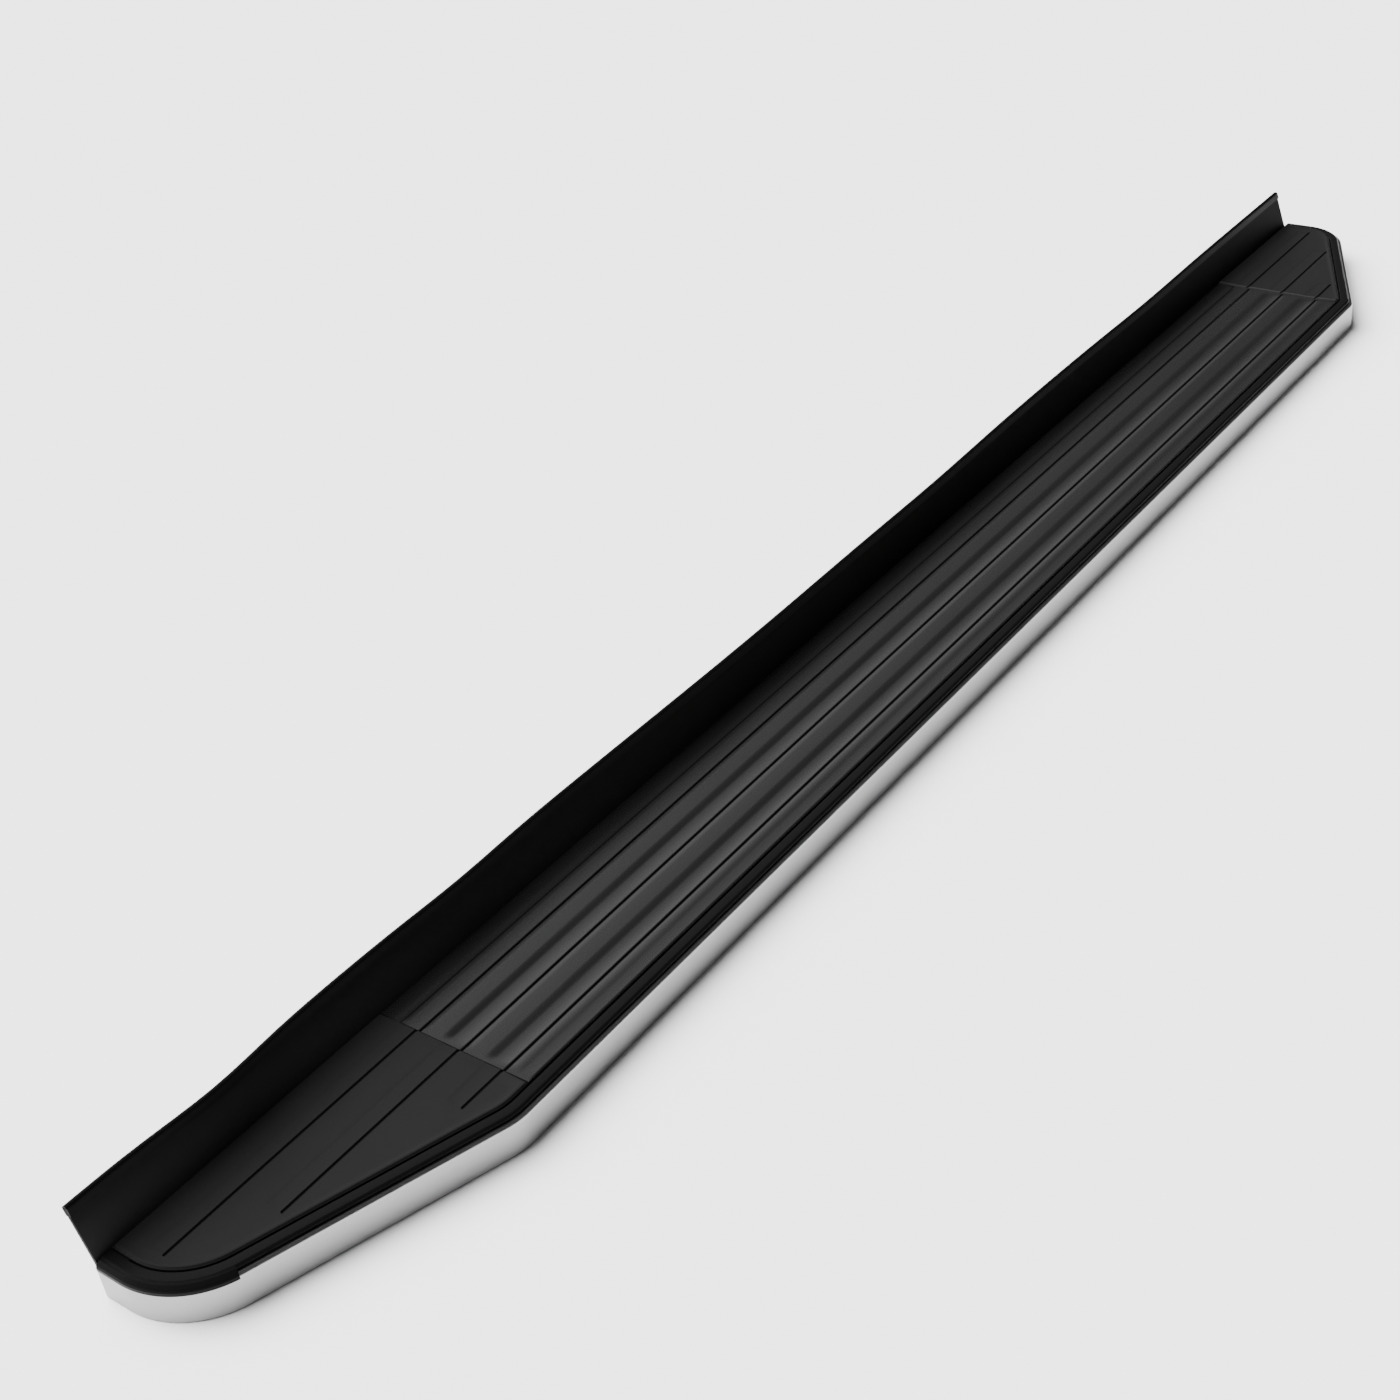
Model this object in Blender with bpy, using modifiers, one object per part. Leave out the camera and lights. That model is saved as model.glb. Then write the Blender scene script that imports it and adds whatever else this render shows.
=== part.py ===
"""Vehicle running board: an aluminium core in a moulded surround, with tread, trim, splash flap and brackets.

Metres, +Z up. +X runs from the long front taper to the rear end, -Y is the outer side with the bright trim,
+Y is the vehicle side. The origin is under the middle of the assembly, on the plane that the bolt ends touch.
"""
import math

import bmesh
import bpy
from mathutils import Matrix, Vector

# Plan of the board, measured on the outer face of the trim strip
BOARD_LENGTH = 1.814
BODY_WIDTH = 0.150
FRONT_TAPER_LENGTH = 0.230
FRONT_TAPER_ANGLE = math.radians(19.4)
FRONT_NOSE_RADIUS = 0.068
FRONT_BEND_RADIUS = 0.060
REAR_TAPER_LENGTH = 0.1855
REAR_TAPER_ANGLE = math.radians(25.8)
REAR_NOSE_RADIUS = 0.052
REAR_BEND_RADIUS = 0.024

# Clearances
GAP = 0.0003
RUNNING_GAP = 0.0004

# Bright trim strip, a folded channel round the outer edge; depths are below the tread surface
TRIM_THICKNESS = 0.0012
TRIM_TOP_DEPTH = 0.0047
TRIM_FACE_HEIGHT = 0.0280
TRIM_EDGE_RADIUS = 0.0030
TRIM_FLANGE_WIDTH = 0.0085
TRIM_HEM_FLAT = 0.0054
TRIM_HEM_STEP = 0.0027

# Moulded surround
SKIRT_THICKNESS = 0.0030
RIM_LIP_INSET = 0.0040
RIM_WIDTH = 0.0088
RIM_DEPTH = 0.0010
RIM_FALL = 0.0014
RIM_ROUND = 0.0010
FLOOR_THICKNESS = 0.0019
RAIL_FLOOR_EXTRA = 0.0003
RAIL_TOP_DEPTH = 0.0028
RAIL_WALL = 0.0040
RAIL_WALL_BOTTOM_MARGIN = 0.0010
BOSS_RADIUS = 0.0036

# Tread pad and end caps
RECESS_DEPTH = 0.0055
REVEAL = 0.0014
STRIP_WIDTH = 0.0164
FRONT_SEAM_MARGIN = 0.0160
REAR_SEAM_MARGIN = 0.0090
CAP_GROOVE_PITCH = 0.0390
PAD_GROOVE_PITCH = 0.0383
CAP_MIDDLE_GROOVE_INSET = 0.0758
PAD_MIDDLE_GROOVE_INSET = 0.0736
GROOVE_WIDTH = 0.0018
GROOVE_DEPTH = 0.0016
LAND_DISH_DEPTH = 0.0013
LAND_DISH_WIDTH = 0.0120
LAND_RISE_WIDTH = 0.0050
DISH_STEPS = 5
LEDGE_WIDTH = 0.0203
LEDGE_DEPTH = 0.0006
FRONT_GROOVE_ENDS = (0.216, 0.090, 0.027)
REAR_GROOVE_ENDS = (0.158, 0.074, 0.028)
CAP_PLATE_THICKNESS = 0.0025
CAP_BEAD_HEIGHT = 0.0006

# Splash flap with its edge seal and retainer
FLAP_THICKNESS = 0.0030
FLAP_HEIGHT_FRONT = 0.0385
FLAP_HEIGHT_REAR = 0.0335
FLAP_LEAN = math.radians(17.0)
FLAP_ROOT_DEPTH = 0.0060
FLAP_FRONT_INSET = 0.0020
FLAP_REAR_INSET = 0.0120
SEAL_WALL = 0.0010
SEAL_HEIGHT = 0.0065
RETAINER_THICKNESS = 0.0025
RETAINER_HEIGHT = 0.0108
RETAINER_END_INSET = 0.0300

# Core extrusion with two T-slots
CORE_HEIGHT = 0.0115
CORE_OUTER_INSET = 0.0200
CORE_WALL = 0.0018
T_SLOT_INSETS = (0.052, 0.114)
T_SLOT_LIP = 0.0025
CORE_END_MARGIN = 0.0100

# Brackets and their fasteners
BRACKET_POSITIONS = {"front": 0.420, "centre": 0.920, "rear": 1.420}
BRACKET_WIDTH = 0.050
BRACKET_THICKNESS = 0.0040
BRACKET_OUTER_INSET = 0.034
BRACKET_REACH = 0.0260
BRACKET_RISE = 0.0160
BRACKET_BEND_RADIUS = 0.0040
SLOT_WIDTH = 0.0090
SLOT_LENGTH = 0.0190
SLOT_TOP_MARGIN = 0.0060
BOLT_RADIUS = 0.0040
BOLT_HEAD_WIDTH = 0.0164
BOLT_HEAD_LENGTH = 0.0200
BOLT_HEAD_HEIGHT = 0.0045
BOLT_END = 0.0016
WASHER_RADIUS = 0.0090
WASHER_THICKNESS = 0.0012
NUT_FLATS = 0.0130
NUT_HEIGHT = 0.0055

# Small screws
SCREW_HEAD_RADIUS = 0.0035
SCREW_HEAD_HEIGHT = 0.0018
SCREW_SHANK_RADIUS = 0.0015
SCREW_GRIP = 0.0060
RETAINER_SCREW_GRIP = 0.0030
TRIM_SCREW_COUNT = 5
TRIM_SCREW_MARGIN = 0.0500
RETAINER_SCREW_COUNT = 6
CAP_SCREW_INSET = 0.0520

ROUND_SIDES = 16
SCREW_SIDES = 12
NOSE_STEPS = 10
BEND_STEPS = 4

# Derived stack, as depths below the tread surface
TRIM_BOTTOM_DEPTH = TRIM_TOP_DEPTH + TRIM_FACE_HEIGHT
SKIRT_OUTER_INSET = TRIM_THICKNESS + GAP
SKIRT_INNER_INSET = SKIRT_OUTER_INSET + SKIRT_THICKNESS
SKIRT_BOTTOM_DEPTH = TRIM_BOTTOM_DEPTH - TRIM_THICKNESS - GAP
RIM_INNER_INSET = RIM_LIP_INSET + RIM_WIDTH
TREAD_INSET = RIM_INNER_INSET + REVEAL
HEM_STEP_END = TRIM_HEM_FLAT + TRIM_HEM_STEP * 0.7
BOSS_INSET = HEM_STEP_END + SCREW_HEAD_RADIUS + 2 * GAP
TRIM_HEM_WIDTH = BOSS_INSET + SCREW_HEAD_RADIUS + GAP
HEM_SEAT_DEPTH = TRIM_BOTTOM_DEPTH - TRIM_HEM_STEP
BOSS_BOTTOM_DEPTH = HEM_SEAT_DEPTH - TRIM_THICKNESS - GAP
FLOOR_BOTTOM_DEPTH = RECESS_DEPTH + FLOOR_THICKNESS
RAIL_BOTTOM_DEPTH = FLOOR_BOTTOM_DEPTH + RAIL_FLOOR_EXTRA
CORE_TOP_DEPTH = RAIL_BOTTOM_DEPTH + GAP
CORE_BOTTOM_DEPTH = CORE_TOP_DEPTH + CORE_HEIGHT
BRACKET_TOP_DEPTH = CORE_BOTTOM_DEPTH + GAP
BRACKET_BOTTOM_DEPTH = BRACKET_TOP_DEPTH + BRACKET_THICKNESS
WASHER_TOP_DEPTH = BRACKET_BOTTOM_DEPTH + GAP
NUT_TOP_DEPTH = WASHER_TOP_DEPTH + WASHER_THICKNESS + GAP
BOLT_END_DEPTH = NUT_TOP_DEPTH + NUT_HEIGHT + BOLT_END
RAIL_WALL_BOTTOM_DEPTH = CORE_BOTTOM_DEPTH - RAIL_WALL_BOTTOM_MARGIN
BASE_DEPTH = max(BOLT_END_DEPTH, TRIM_BOTTOM_DEPTH)

FLAP_FACE = BODY_WIDTH + GAP
FLAP_BACK = FLAP_FACE + FLAP_THICKNESS
RETAINER_FACE = FLAP_BACK + GAP
RETAINER_BACK = RETAINER_FACE + RETAINER_THICKNESS
RETAINER_BOTTOM_DEPTH = RAIL_WALL_BOTTOM_DEPTH
RETAINER_MIDDLE_DEPTH = RETAINER_BOTTOM_DEPTH - RETAINER_HEIGHT / 2
CORE_INNER_INSET = BODY_WIDTH - RAIL_WALL - RUNNING_GAP
UPRIGHT_BACK = BODY_WIDTH + BRACKET_REACH
HALF_LENGTH = BOARD_LENGTH / 2
HALF_WIDTH = UPRIGHT_BACK / 2
FRONT_BEND_START = FRONT_TAPER_LENGTH + FRONT_BEND_RADIUS * math.tan(FRONT_TAPER_ANGLE / 2)
REAR_BEND_START = REAR_TAPER_LENGTH + REAR_BEND_RADIUS * math.tan(REAR_TAPER_ANGLE / 2)
FRONT_SEAM = FRONT_BEND_START + FRONT_SEAM_MARGIN - HALF_LENGTH
REAR_SEAM = HALF_LENGTH - REAR_BEND_START - REAR_SEAM_MARGIN
CLEAR_RADIUS = BOLT_RADIUS + GAP / math.cos(math.pi / ROUND_SIDES)
SCREW_CLEAR_RADIUS = SCREW_SHANK_RADIUS + GAP / math.cos(math.pi / SCREW_SIDES)

COLLECTION_NAME = "running_board"


def height(depth):
    """World Z of a depth below the tread surface."""
    return BASE_DEPTH - depth


def across(inset):
    """World Y of a distance inwards from the outer face of the trim."""
    return inset - HALF_WIDTH


def clear_scene():
    for existing in list(bpy.data.objects):
        bpy.data.objects.remove(existing, do_unlink=True)


def make_collection(name):
    collection = bpy.data.collections.new(name)
    bpy.context.scene.collection.children.link(collection)
    return collection


def make_material(name, colour, roughness, metallic=0.0):
    material = bpy.data.materials.new(name)
    material.use_nodes = True
    shader = material.node_tree.nodes["Principled BSDF"]
    shader.inputs["Base Color"].default_value = (*colour, 1.0)
    shader.inputs["Roughness"].default_value = roughness
    shader.inputs["Metallic"].default_value = metallic
    material.diffuse_color = (*colour, 1.0)
    return material


def place(name, mesh, material=None, location=(0.0, 0.0, 0.0), turn=None):
    """Link a mesh as a part, or as a hidden cutter when it has no material."""
    piece = bpy.data.objects.new(name, mesh)
    piece.matrix_world = Matrix.Translation(location) @ (turn or Matrix.Identity(4))
    if material:
        mesh.materials.append(material)
        PARTS.objects.link(piece)
    else:
        CUTTERS.objects.link(piece)
        piece.hide_render = True
        piece.display_type = "WIRE"
    return piece


def boolean(piece, operand, operation="DIFFERENCE"):
    modifier = piece.modifiers.new(operand.name, "BOOLEAN")
    modifier.operation = operation
    modifier.solver = "EXACT"
    modifier.object = operand


def mesh_from_bmesh(name, work):
    bmesh.ops.recalc_face_normals(work, faces=work.faces)
    mesh = bpy.data.meshes.new(name)
    work.to_mesh(mesh)
    work.free()
    return mesh


def prism_mesh(name, loops, thickness):
    """Flat outlines, the first one solid and the others holes, extruded by half the thickness each way."""
    curve = bpy.data.curves.new(name, "CURVE")
    curve.dimensions = "2D"
    curve.fill_mode = "BOTH"
    curve.extrude = thickness / 2
    for loop in loops:
        spline = curve.splines.new("POLY")
        spline.points.add(len(loop) - 1)
        for point, (first, second) in zip(spline.points, loop):
            point.co = (first, second, 0.0, 1.0)
        spline.use_cyclic_u = True
    source = bpy.data.objects.new(name, curve)
    bpy.context.scene.collection.objects.link(source)
    depsgraph = bpy.context.evaluated_depsgraph_get()
    mesh = bpy.data.meshes.new_from_object(source.evaluated_get(depsgraph))
    mesh.name = name
    bpy.data.objects.remove(source, do_unlink=True)
    work = bmesh.new()
    work.from_mesh(mesh)
    bmesh.ops.remove_doubles(work, verts=work.verts, dist=0.00001)
    bmesh.ops.recalc_face_normals(work, faces=work.faces)
    work.to_mesh(mesh)
    work.free()
    mesh.materials.clear()
    return mesh


def plate(name, loops, top_depth, bottom_depth, material=None):
    """A flat plate between two depths, its outlines in plan."""
    mesh = prism_mesh(name, loops, bottom_depth - top_depth)
    middle = height((top_depth + bottom_depth) / 2)
    return place(name, mesh, material, (0.0, 0.0, middle))


def bar(name, sections, start, end, material=None):
    """A bar along X from sections given as (inset, depth) points."""
    loops = [[(across(inset), height(depth)) for inset, depth in section] for section in sections]
    mesh = prism_mesh(name, loops, end - start)
    turn = Matrix(((0, 0, 1, 0), (1, 0, 0, 0), (0, 1, 0, 0), (0, 0, 0, 1)))
    return place(name, mesh, material, ((start + end) / 2, 0.0, 0.0), turn)


def circle(radius, sides, centre=(0.0, 0.0)):
    angles = [2 * math.pi * (step + 0.5) / sides for step in range(sides)]
    return [(centre[0] + radius * math.cos(a), centre[1] + radius * math.sin(a)) for a in angles]


def rectangle(low, high):
    return [(low[0], low[1]), (high[0], low[1]), (high[0], high[1]), (low[0], high[1])]


def rods(name, places, radius, start, end, axis, sides):
    """Cutters or union pieces: parallel cylinders between two positions along one axis."""
    turn = Vector((0, 0, 1)).rotation_difference(axis).to_matrix().to_4x4()
    work = bmesh.new()
    for point in places:
        centre = Vector(point) + axis * ((start + end) / 2)
        bmesh.ops.create_cone(
            work, cap_ends=True, segments=sides, radius1=radius, radius2=radius,
            depth=abs(end - start), matrix=Matrix.Translation(centre) @ turn)
    return place(name, mesh_from_bmesh(name, work))


def turned(name, profile, material, location, turn=None, sides=SCREW_SIDES):
    """A turned piece from (radius, height) points that run from the top to the bottom."""
    mesh = bpy.data.meshes.new(name)
    points = [(radius, 0.0, level) for radius, level in profile]
    edges = [(index, index + 1) for index in range(len(points) - 1)]
    mesh.from_pydata(points, edges, [])
    piece = place(name, mesh, material, location, turn)
    screw = piece.modifiers.new("turn", "SCREW")
    screw.steps = sides
    screw.render_steps = sides
    screw.use_merge_vertices = True
    screw.merge_threshold = 0.00001
    screw.use_smooth_shade = False
    return piece


def offset_line(point, direction, inset):
    """A line moved to its left, which is into the board when its outline runs anticlockwise."""
    left = Vector((-direction.y, direction.x))
    return point + left * inset, direction


def crossing(line_a, line_b):
    (point_a, run_a), (point_b, run_b) = line_a, line_b
    span = point_b - point_a
    travel = (span.x * run_b.y - span.y * run_b.x) / (run_a.x * run_b.y - run_a.y * run_b.x)
    return point_a + run_a * travel


def rounded(line_a, line_b, radius, steps):
    """The arc of a given radius that joins two lines turning left."""
    corner = crossing(line_a, line_b)
    if radius <= 0.0:
        return [corner]
    turn = line_a[1].angle(line_b[1])
    start = corner - line_a[1] * radius * math.tan(turn / 2)
    centre = start + Vector((-line_a[1].y, line_a[1].x)) * radius
    spoke = start - centre
    return [centre + Matrix.Rotation(turn * step / steps, 2) @ spoke for step in range(steps + 1)]


def front_lines(inset):
    """The square front end and the front taper."""
    end_face = offset_line(Vector((-HALF_LENGTH, across(BODY_WIDTH))), Vector((0.0, -1.0)), inset)
    taper_run = Vector((math.cos(FRONT_TAPER_ANGLE), -math.sin(FRONT_TAPER_ANGLE)))
    taper = offset_line(Vector((FRONT_TAPER_LENGTH - HALF_LENGTH, across(0.0))), taper_run, inset)
    return end_face, taper


def rear_lines(inset):
    """The rear taper and the square rear end."""
    taper_run = Vector((math.cos(REAR_TAPER_ANGLE), math.sin(REAR_TAPER_ANGLE)))
    taper = offset_line(Vector((HALF_LENGTH - REAR_TAPER_LENGTH, across(0.0))), taper_run, inset)
    end_face = offset_line(Vector((HALF_LENGTH, across(BODY_WIDTH))), Vector((0.0, 1.0)), inset)
    return taper, end_face


def outer_line(inset):
    return offset_line(Vector((0.0, across(0.0))), Vector((1.0, 0.0)), inset)


def inner_line(inset):
    return offset_line(Vector((0.0, across(BODY_WIDTH))), Vector((-1.0, 0.0)), inset)


def front_path(inset, inner_inset):
    """Outer edge from the front inner corner to the start of the straight side."""
    end_face, taper = front_lines(inset)
    points = [crossing(inner_line(inner_inset), end_face)]
    points += rounded(end_face, taper, FRONT_NOSE_RADIUS - inset, NOSE_STEPS)
    points += rounded(taper, outer_line(inset), FRONT_BEND_RADIUS - inset, BEND_STEPS)
    return points


def rear_path(inset, inner_inset):
    """Outer edge from the end of the straight side to the rear inner corner."""
    taper, end_face = rear_lines(inset)
    points = rounded(outer_line(inset), taper, REAR_BEND_RADIUS - inset, BEND_STEPS)
    points += rounded(taper, end_face, REAR_NOSE_RADIUS - inset, NOSE_STEPS)
    points.append(crossing(end_face, inner_line(inner_inset)))
    return points


def outline(inset, inner_inset):
    return front_path(inset, inner_inset) + rear_path(inset, inner_inset)


def front_cap_outline(inset, seam_inset, inner_inset):
    seam = FRONT_SEAM - seam_inset
    edge = [Vector((seam, across(inset))), Vector((seam, across(BODY_WIDTH - inner_inset)))]
    return front_path(inset, inner_inset) + edge


def rear_cap_outline(inset, seam_inset, inner_inset):
    seam = REAR_SEAM + seam_inset
    edge = [Vector((seam, across(BODY_WIDTH - inner_inset))), Vector((seam, across(inset)))]
    return rear_path(inset, inner_inset) + edge


def skin_rings(work, rings, closed):
    """Quads between neighbouring rings of points, where every ring has the same number of points."""
    count = len(rings[0])
    for lower, upper in zip(rings, rings[1:]):
        for index in range(count if closed else count - 1):
            following = (index + 1) % count
            work.faces.new((lower[index], lower[following], upper[following], upper[index]))


def swept_edge(name, section, inner_inset, material):
    """A closed section of (inset, depth) points carried round the outer edge of the board."""
    work = bmesh.new()
    rails = []
    for inset, depth in section:
        rails.append([work.verts.new((*point, height(depth))) for point in outline(inset, inner_inset)])
    skin_rings(work, rails + rails[:1], closed=False)
    work.faces.new([rail[0] for rail in rails])
    work.faces.new([rail[-1] for rail in rails])
    return place(name, mesh_from_bmesh(name, work), material)


def stacked_outlines(name, outline_at, levels, material):
    """A plate whose edge is shaped by insets that change with depth."""
    work = bmesh.new()
    rings = []
    for inset, seam_inset, inner_inset, depth in levels:
        points = outline_at(inset, seam_inset, inner_inset)
        rings.append([work.verts.new((*point, height(depth))) for point in points])
    skin_rings(work, rings, closed=True)
    work.faces.new(rings[0])
    work.faces.new(rings[-1])
    return place(name, mesh_from_bmesh(name, work), material)


def screw_profile(grip):
    """A pan head on a plain shank, with its seat at height zero and the shank below."""
    return [
        (0.0, SCREW_HEAD_HEIGHT),
        (SCREW_HEAD_RADIUS * 0.7, SCREW_HEAD_HEIGHT),
        (SCREW_HEAD_RADIUS, SCREW_HEAD_HEIGHT * 0.4),
        (SCREW_HEAD_RADIUS, 0.0),
        (SCREW_SHANK_RADIUS, 0.0),
        (SCREW_SHANK_RADIUS, -grip + SCREW_SHANK_RADIUS),
        (0.0, -grip),
    ]


def spread(start, end, count):
    step = (end - start) / (count - 1)
    return [start + step * index for index in range(count)]


def trim_strip(screw_places):
    """Folded channel: stepped hem, upright face, rounded top edge and a flange that tucks under the rim."""
    low, top, seat = TRIM_BOTTOM_DEPTH, TRIM_TOP_DEPTH, HEM_SEAT_DEPTH
    outer = TRIM_EDGE_RADIUS
    inner = TRIM_EDGE_RADIUS - TRIM_THICKNESS
    centre = (TRIM_EDGE_RADIUS, top + TRIM_EDGE_RADIUS)
    angles = [math.pi / 2 * step / 3 for step in range(4)]
    section = [(TRIM_HEM_WIDTH, seat), (HEM_STEP_END, seat), (TRIM_HEM_FLAT, low)]
    section += [(TRIM_THICKNESS, low), (0.0, low - TRIM_THICKNESS)]
    section += [(centre[0] - outer * math.cos(a), centre[1] - outer * math.sin(a)) for a in angles]
    section += [(TRIM_FLANGE_WIDTH, top), (TRIM_FLANGE_WIDTH, top + TRIM_THICKNESS)]
    section += [(centre[0] - inner * math.cos(a), centre[1] - inner * math.sin(a)) for a in reversed(angles)]
    fold = TRIM_THICKNESS / 2
    section += [(TRIM_THICKNESS, low - TRIM_THICKNESS), (TRIM_HEM_FLAT - fold, low - TRIM_THICKNESS)]
    section += [(HEM_STEP_END - fold, seat - TRIM_THICKNESS), (TRIM_HEM_WIDTH, seat - TRIM_THICKNESS)]
    piece = swept_edge("trim_strip", section, GAP, STEEL_BRIGHT)
    holes = rods(
        "trim_screw_holes", screw_places, SCREW_CLEAR_RADIUS, height(seat) - 0.002,
        height(seat) + 0.003, Vector((0, 0, 1)), SCREW_SIDES)
    boolean(piece, holes)


def surround(trim_screws, retainer_screws, cap_screws):
    """Rim and skirt round the outer edge, a floor under the tread and a rail along the vehicle side."""
    flange_top = TRIM_TOP_DEPTH - GAP
    flange_bottom = TRIM_TOP_DEPTH + TRIM_THICKNESS + GAP
    slot_end = TRIM_FLANGE_WIDTH + GAP
    section = [
        (SKIRT_INNER_INSET, SKIRT_BOTTOM_DEPTH),
        (SKIRT_OUTER_INSET, SKIRT_BOTTOM_DEPTH),
        (SKIRT_OUTER_INSET, flange_bottom + TRIM_EDGE_RADIUS / 2),
        (SKIRT_OUTER_INSET + TRIM_EDGE_RADIUS / 2, flange_bottom),
        (slot_end, flange_bottom),
        (slot_end, flange_top),
        (RIM_LIP_INSET, flange_top),
        (RIM_LIP_INSET + RIM_ROUND / 2, flange_top - RIM_ROUND),
        (RIM_LIP_INSET + RIM_ROUND * 1.5, RIM_DEPTH + RIM_FALL),
        (RIM_INNER_INSET - RIM_ROUND, RIM_DEPTH),
        (RIM_INNER_INSET, RIM_DEPTH + RIM_ROUND / 2),
        (RIM_INNER_INSET, RAIL_BOTTOM_DEPTH),
        (SKIRT_INNER_INSET, RAIL_BOTTOM_DEPTH),
    ]
    piece = swept_edge("surround_moulding", section, GAP * 2, PLASTIC_GLOSS)

    overlap = 0.002
    floor = plate(
        "surround_floor", [outline(RIM_INNER_INSET - overlap, STRIP_WIDTH - overlap)],
        RECESS_DEPTH, FLOOR_BOTTOM_DEPTH)
    boolean(piece, floor, "UNION")

    recess_edge = BODY_WIDTH - STRIP_WIDTH
    wall = BODY_WIDTH - RAIL_WALL
    rail_section = [
        (recess_edge, RAIL_TOP_DEPTH), (BODY_WIDTH, RAIL_TOP_DEPTH),
        (BODY_WIDTH, RAIL_WALL_BOTTOM_DEPTH), (wall, RAIL_WALL_BOTTOM_DEPTH),
        (wall, RAIL_BOTTOM_DEPTH + GAP / 2), (recess_edge, RAIL_BOTTOM_DEPTH + GAP / 2)]
    rail_inset = (slot_end + RIM_INNER_INSET) / 2
    front_reach = front_lines(rail_inset)[0]
    rear_reach = rear_lines(rail_inset)[1]
    rail_start = crossing(front_reach, inner_line(STRIP_WIDTH)).x
    rail_end = crossing(rear_reach, inner_line(STRIP_WIDTH)).x
    rail = bar("surround_rail", [rail_section], rail_start, rail_end)
    boolean(piece, rail, "UNION")

    up = Vector((0, 0, 1))
    bosses = rods(
        "surround_bosses", trim_screws, BOSS_RADIUS, height(BOSS_BOTTOM_DEPTH),
        height(RAIL_BOTTOM_DEPTH - overlap / 2), up, SCREW_SIDES)
    boolean(piece, bosses, "UNION")

    bottom = height(BOSS_BOTTOM_DEPTH)
    trim_holes = rods(
        "surround_trim_screw_holes", trim_screws, SCREW_CLEAR_RADIUS, bottom - 0.002,
        bottom + SCREW_GRIP, up, SCREW_SIDES)
    boolean(piece, trim_holes)
    retainer_holes = rods(
        "surround_retainer_screw_holes", retainer_screws, SCREW_CLEAR_RADIUS,
        across(wall) - 0.002, across(BODY_WIDTH) + 0.002, Vector((0, 1, 0)), SCREW_SIDES)
    boolean(piece, retainer_holes)
    cap_holes = rods(
        "surround_cap_screw_holes", cap_screws, SCREW_CLEAR_RADIUS, height(FLOOR_BOTTOM_DEPTH) - 0.002,
        height(RECESS_DEPTH) + 0.002, up, SCREW_SIDES)
    boolean(piece, cap_holes)


def groove_insets(middle, pitch):
    """Grooves from the outer one to the one beside the flap."""
    return [middle + pitch * step for step in (-1, 0, 1)]


def land(start, end, deepest):
    """Flat land from its inner line, with a fall to a dish that climbs again to the outer line."""
    deep_at = min(end + LAND_DISH_WIDTH, start)
    points = [(start, 0.0)]
    if start - deep_at > LAND_RISE_WIDTH:
        fall_start = deep_at + LAND_RISE_WIDTH
        points.append((fall_start, 0.0))
        for step in range(1, DISH_STEPS):
            share = step / DISH_STEPS
            points.append((fall_start - LAND_RISE_WIDTH * share, deepest * (1 - math.cos(math.pi * share)) / 2))
    for step in range(DISH_STEPS + 1):
        share = step / DISH_STEPS
        inset = deep_at + (end - deep_at) * share
        if inset < start:
            points.append((inset, deepest * (1 - share ** 2)))
    return points


def tread_pad():
    """Rubber-faced pad: four lands with a groove between each two, dished lands, and a ledge over the rail."""
    half_groove = GROOVE_WIDTH / 2
    recess_edge = BODY_WIDTH - STRIP_WIDTH - GAP
    ledge_line = BODY_WIDTH - LEDGE_WIDTH
    outer_groove, middle_groove, inner_groove = groove_insets(PAD_MIDDLE_GROOVE_INSET, PAD_GROOVE_PITCH)
    bottom = RECESS_DEPTH - GAP
    edge_round = RIM_ROUND
    section = [
        (TREAD_INSET, bottom), (recess_edge, bottom), (recess_edge, RAIL_TOP_DEPTH - GAP),
        (BODY_WIDTH - 2 * GAP, RAIL_TOP_DEPTH - GAP), (BODY_WIDTH - 2 * GAP, LEDGE_DEPTH),
        (ledge_line + half_groove, LEDGE_DEPTH), (ledge_line, GROOVE_DEPTH)]
    lands = (
        (ledge_line - half_groove, inner_groove + half_groove, LAND_DISH_DEPTH * 0.2),
        (inner_groove - half_groove, middle_groove + half_groove, LAND_DISH_DEPTH),
        (middle_groove - half_groove, outer_groove + half_groove, LAND_DISH_DEPTH),
        (outer_groove - half_groove, TREAD_INSET + edge_round, LAND_DISH_DEPTH * 0.6),
    )
    for number, (start, end, deepest) in enumerate(lands):
        section += land(start, end, deepest)
        if number < len(lands) - 1:
            section += [(end, GROOVE_DEPTH), (end - GROOVE_WIDTH, GROOVE_DEPTH)]
    section.append((TREAD_INSET, edge_round))
    bar("tread_pad", [section], FRONT_SEAM + GAP / 2, REAR_SEAM - GAP / 2, RUBBER_TREAD)


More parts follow.
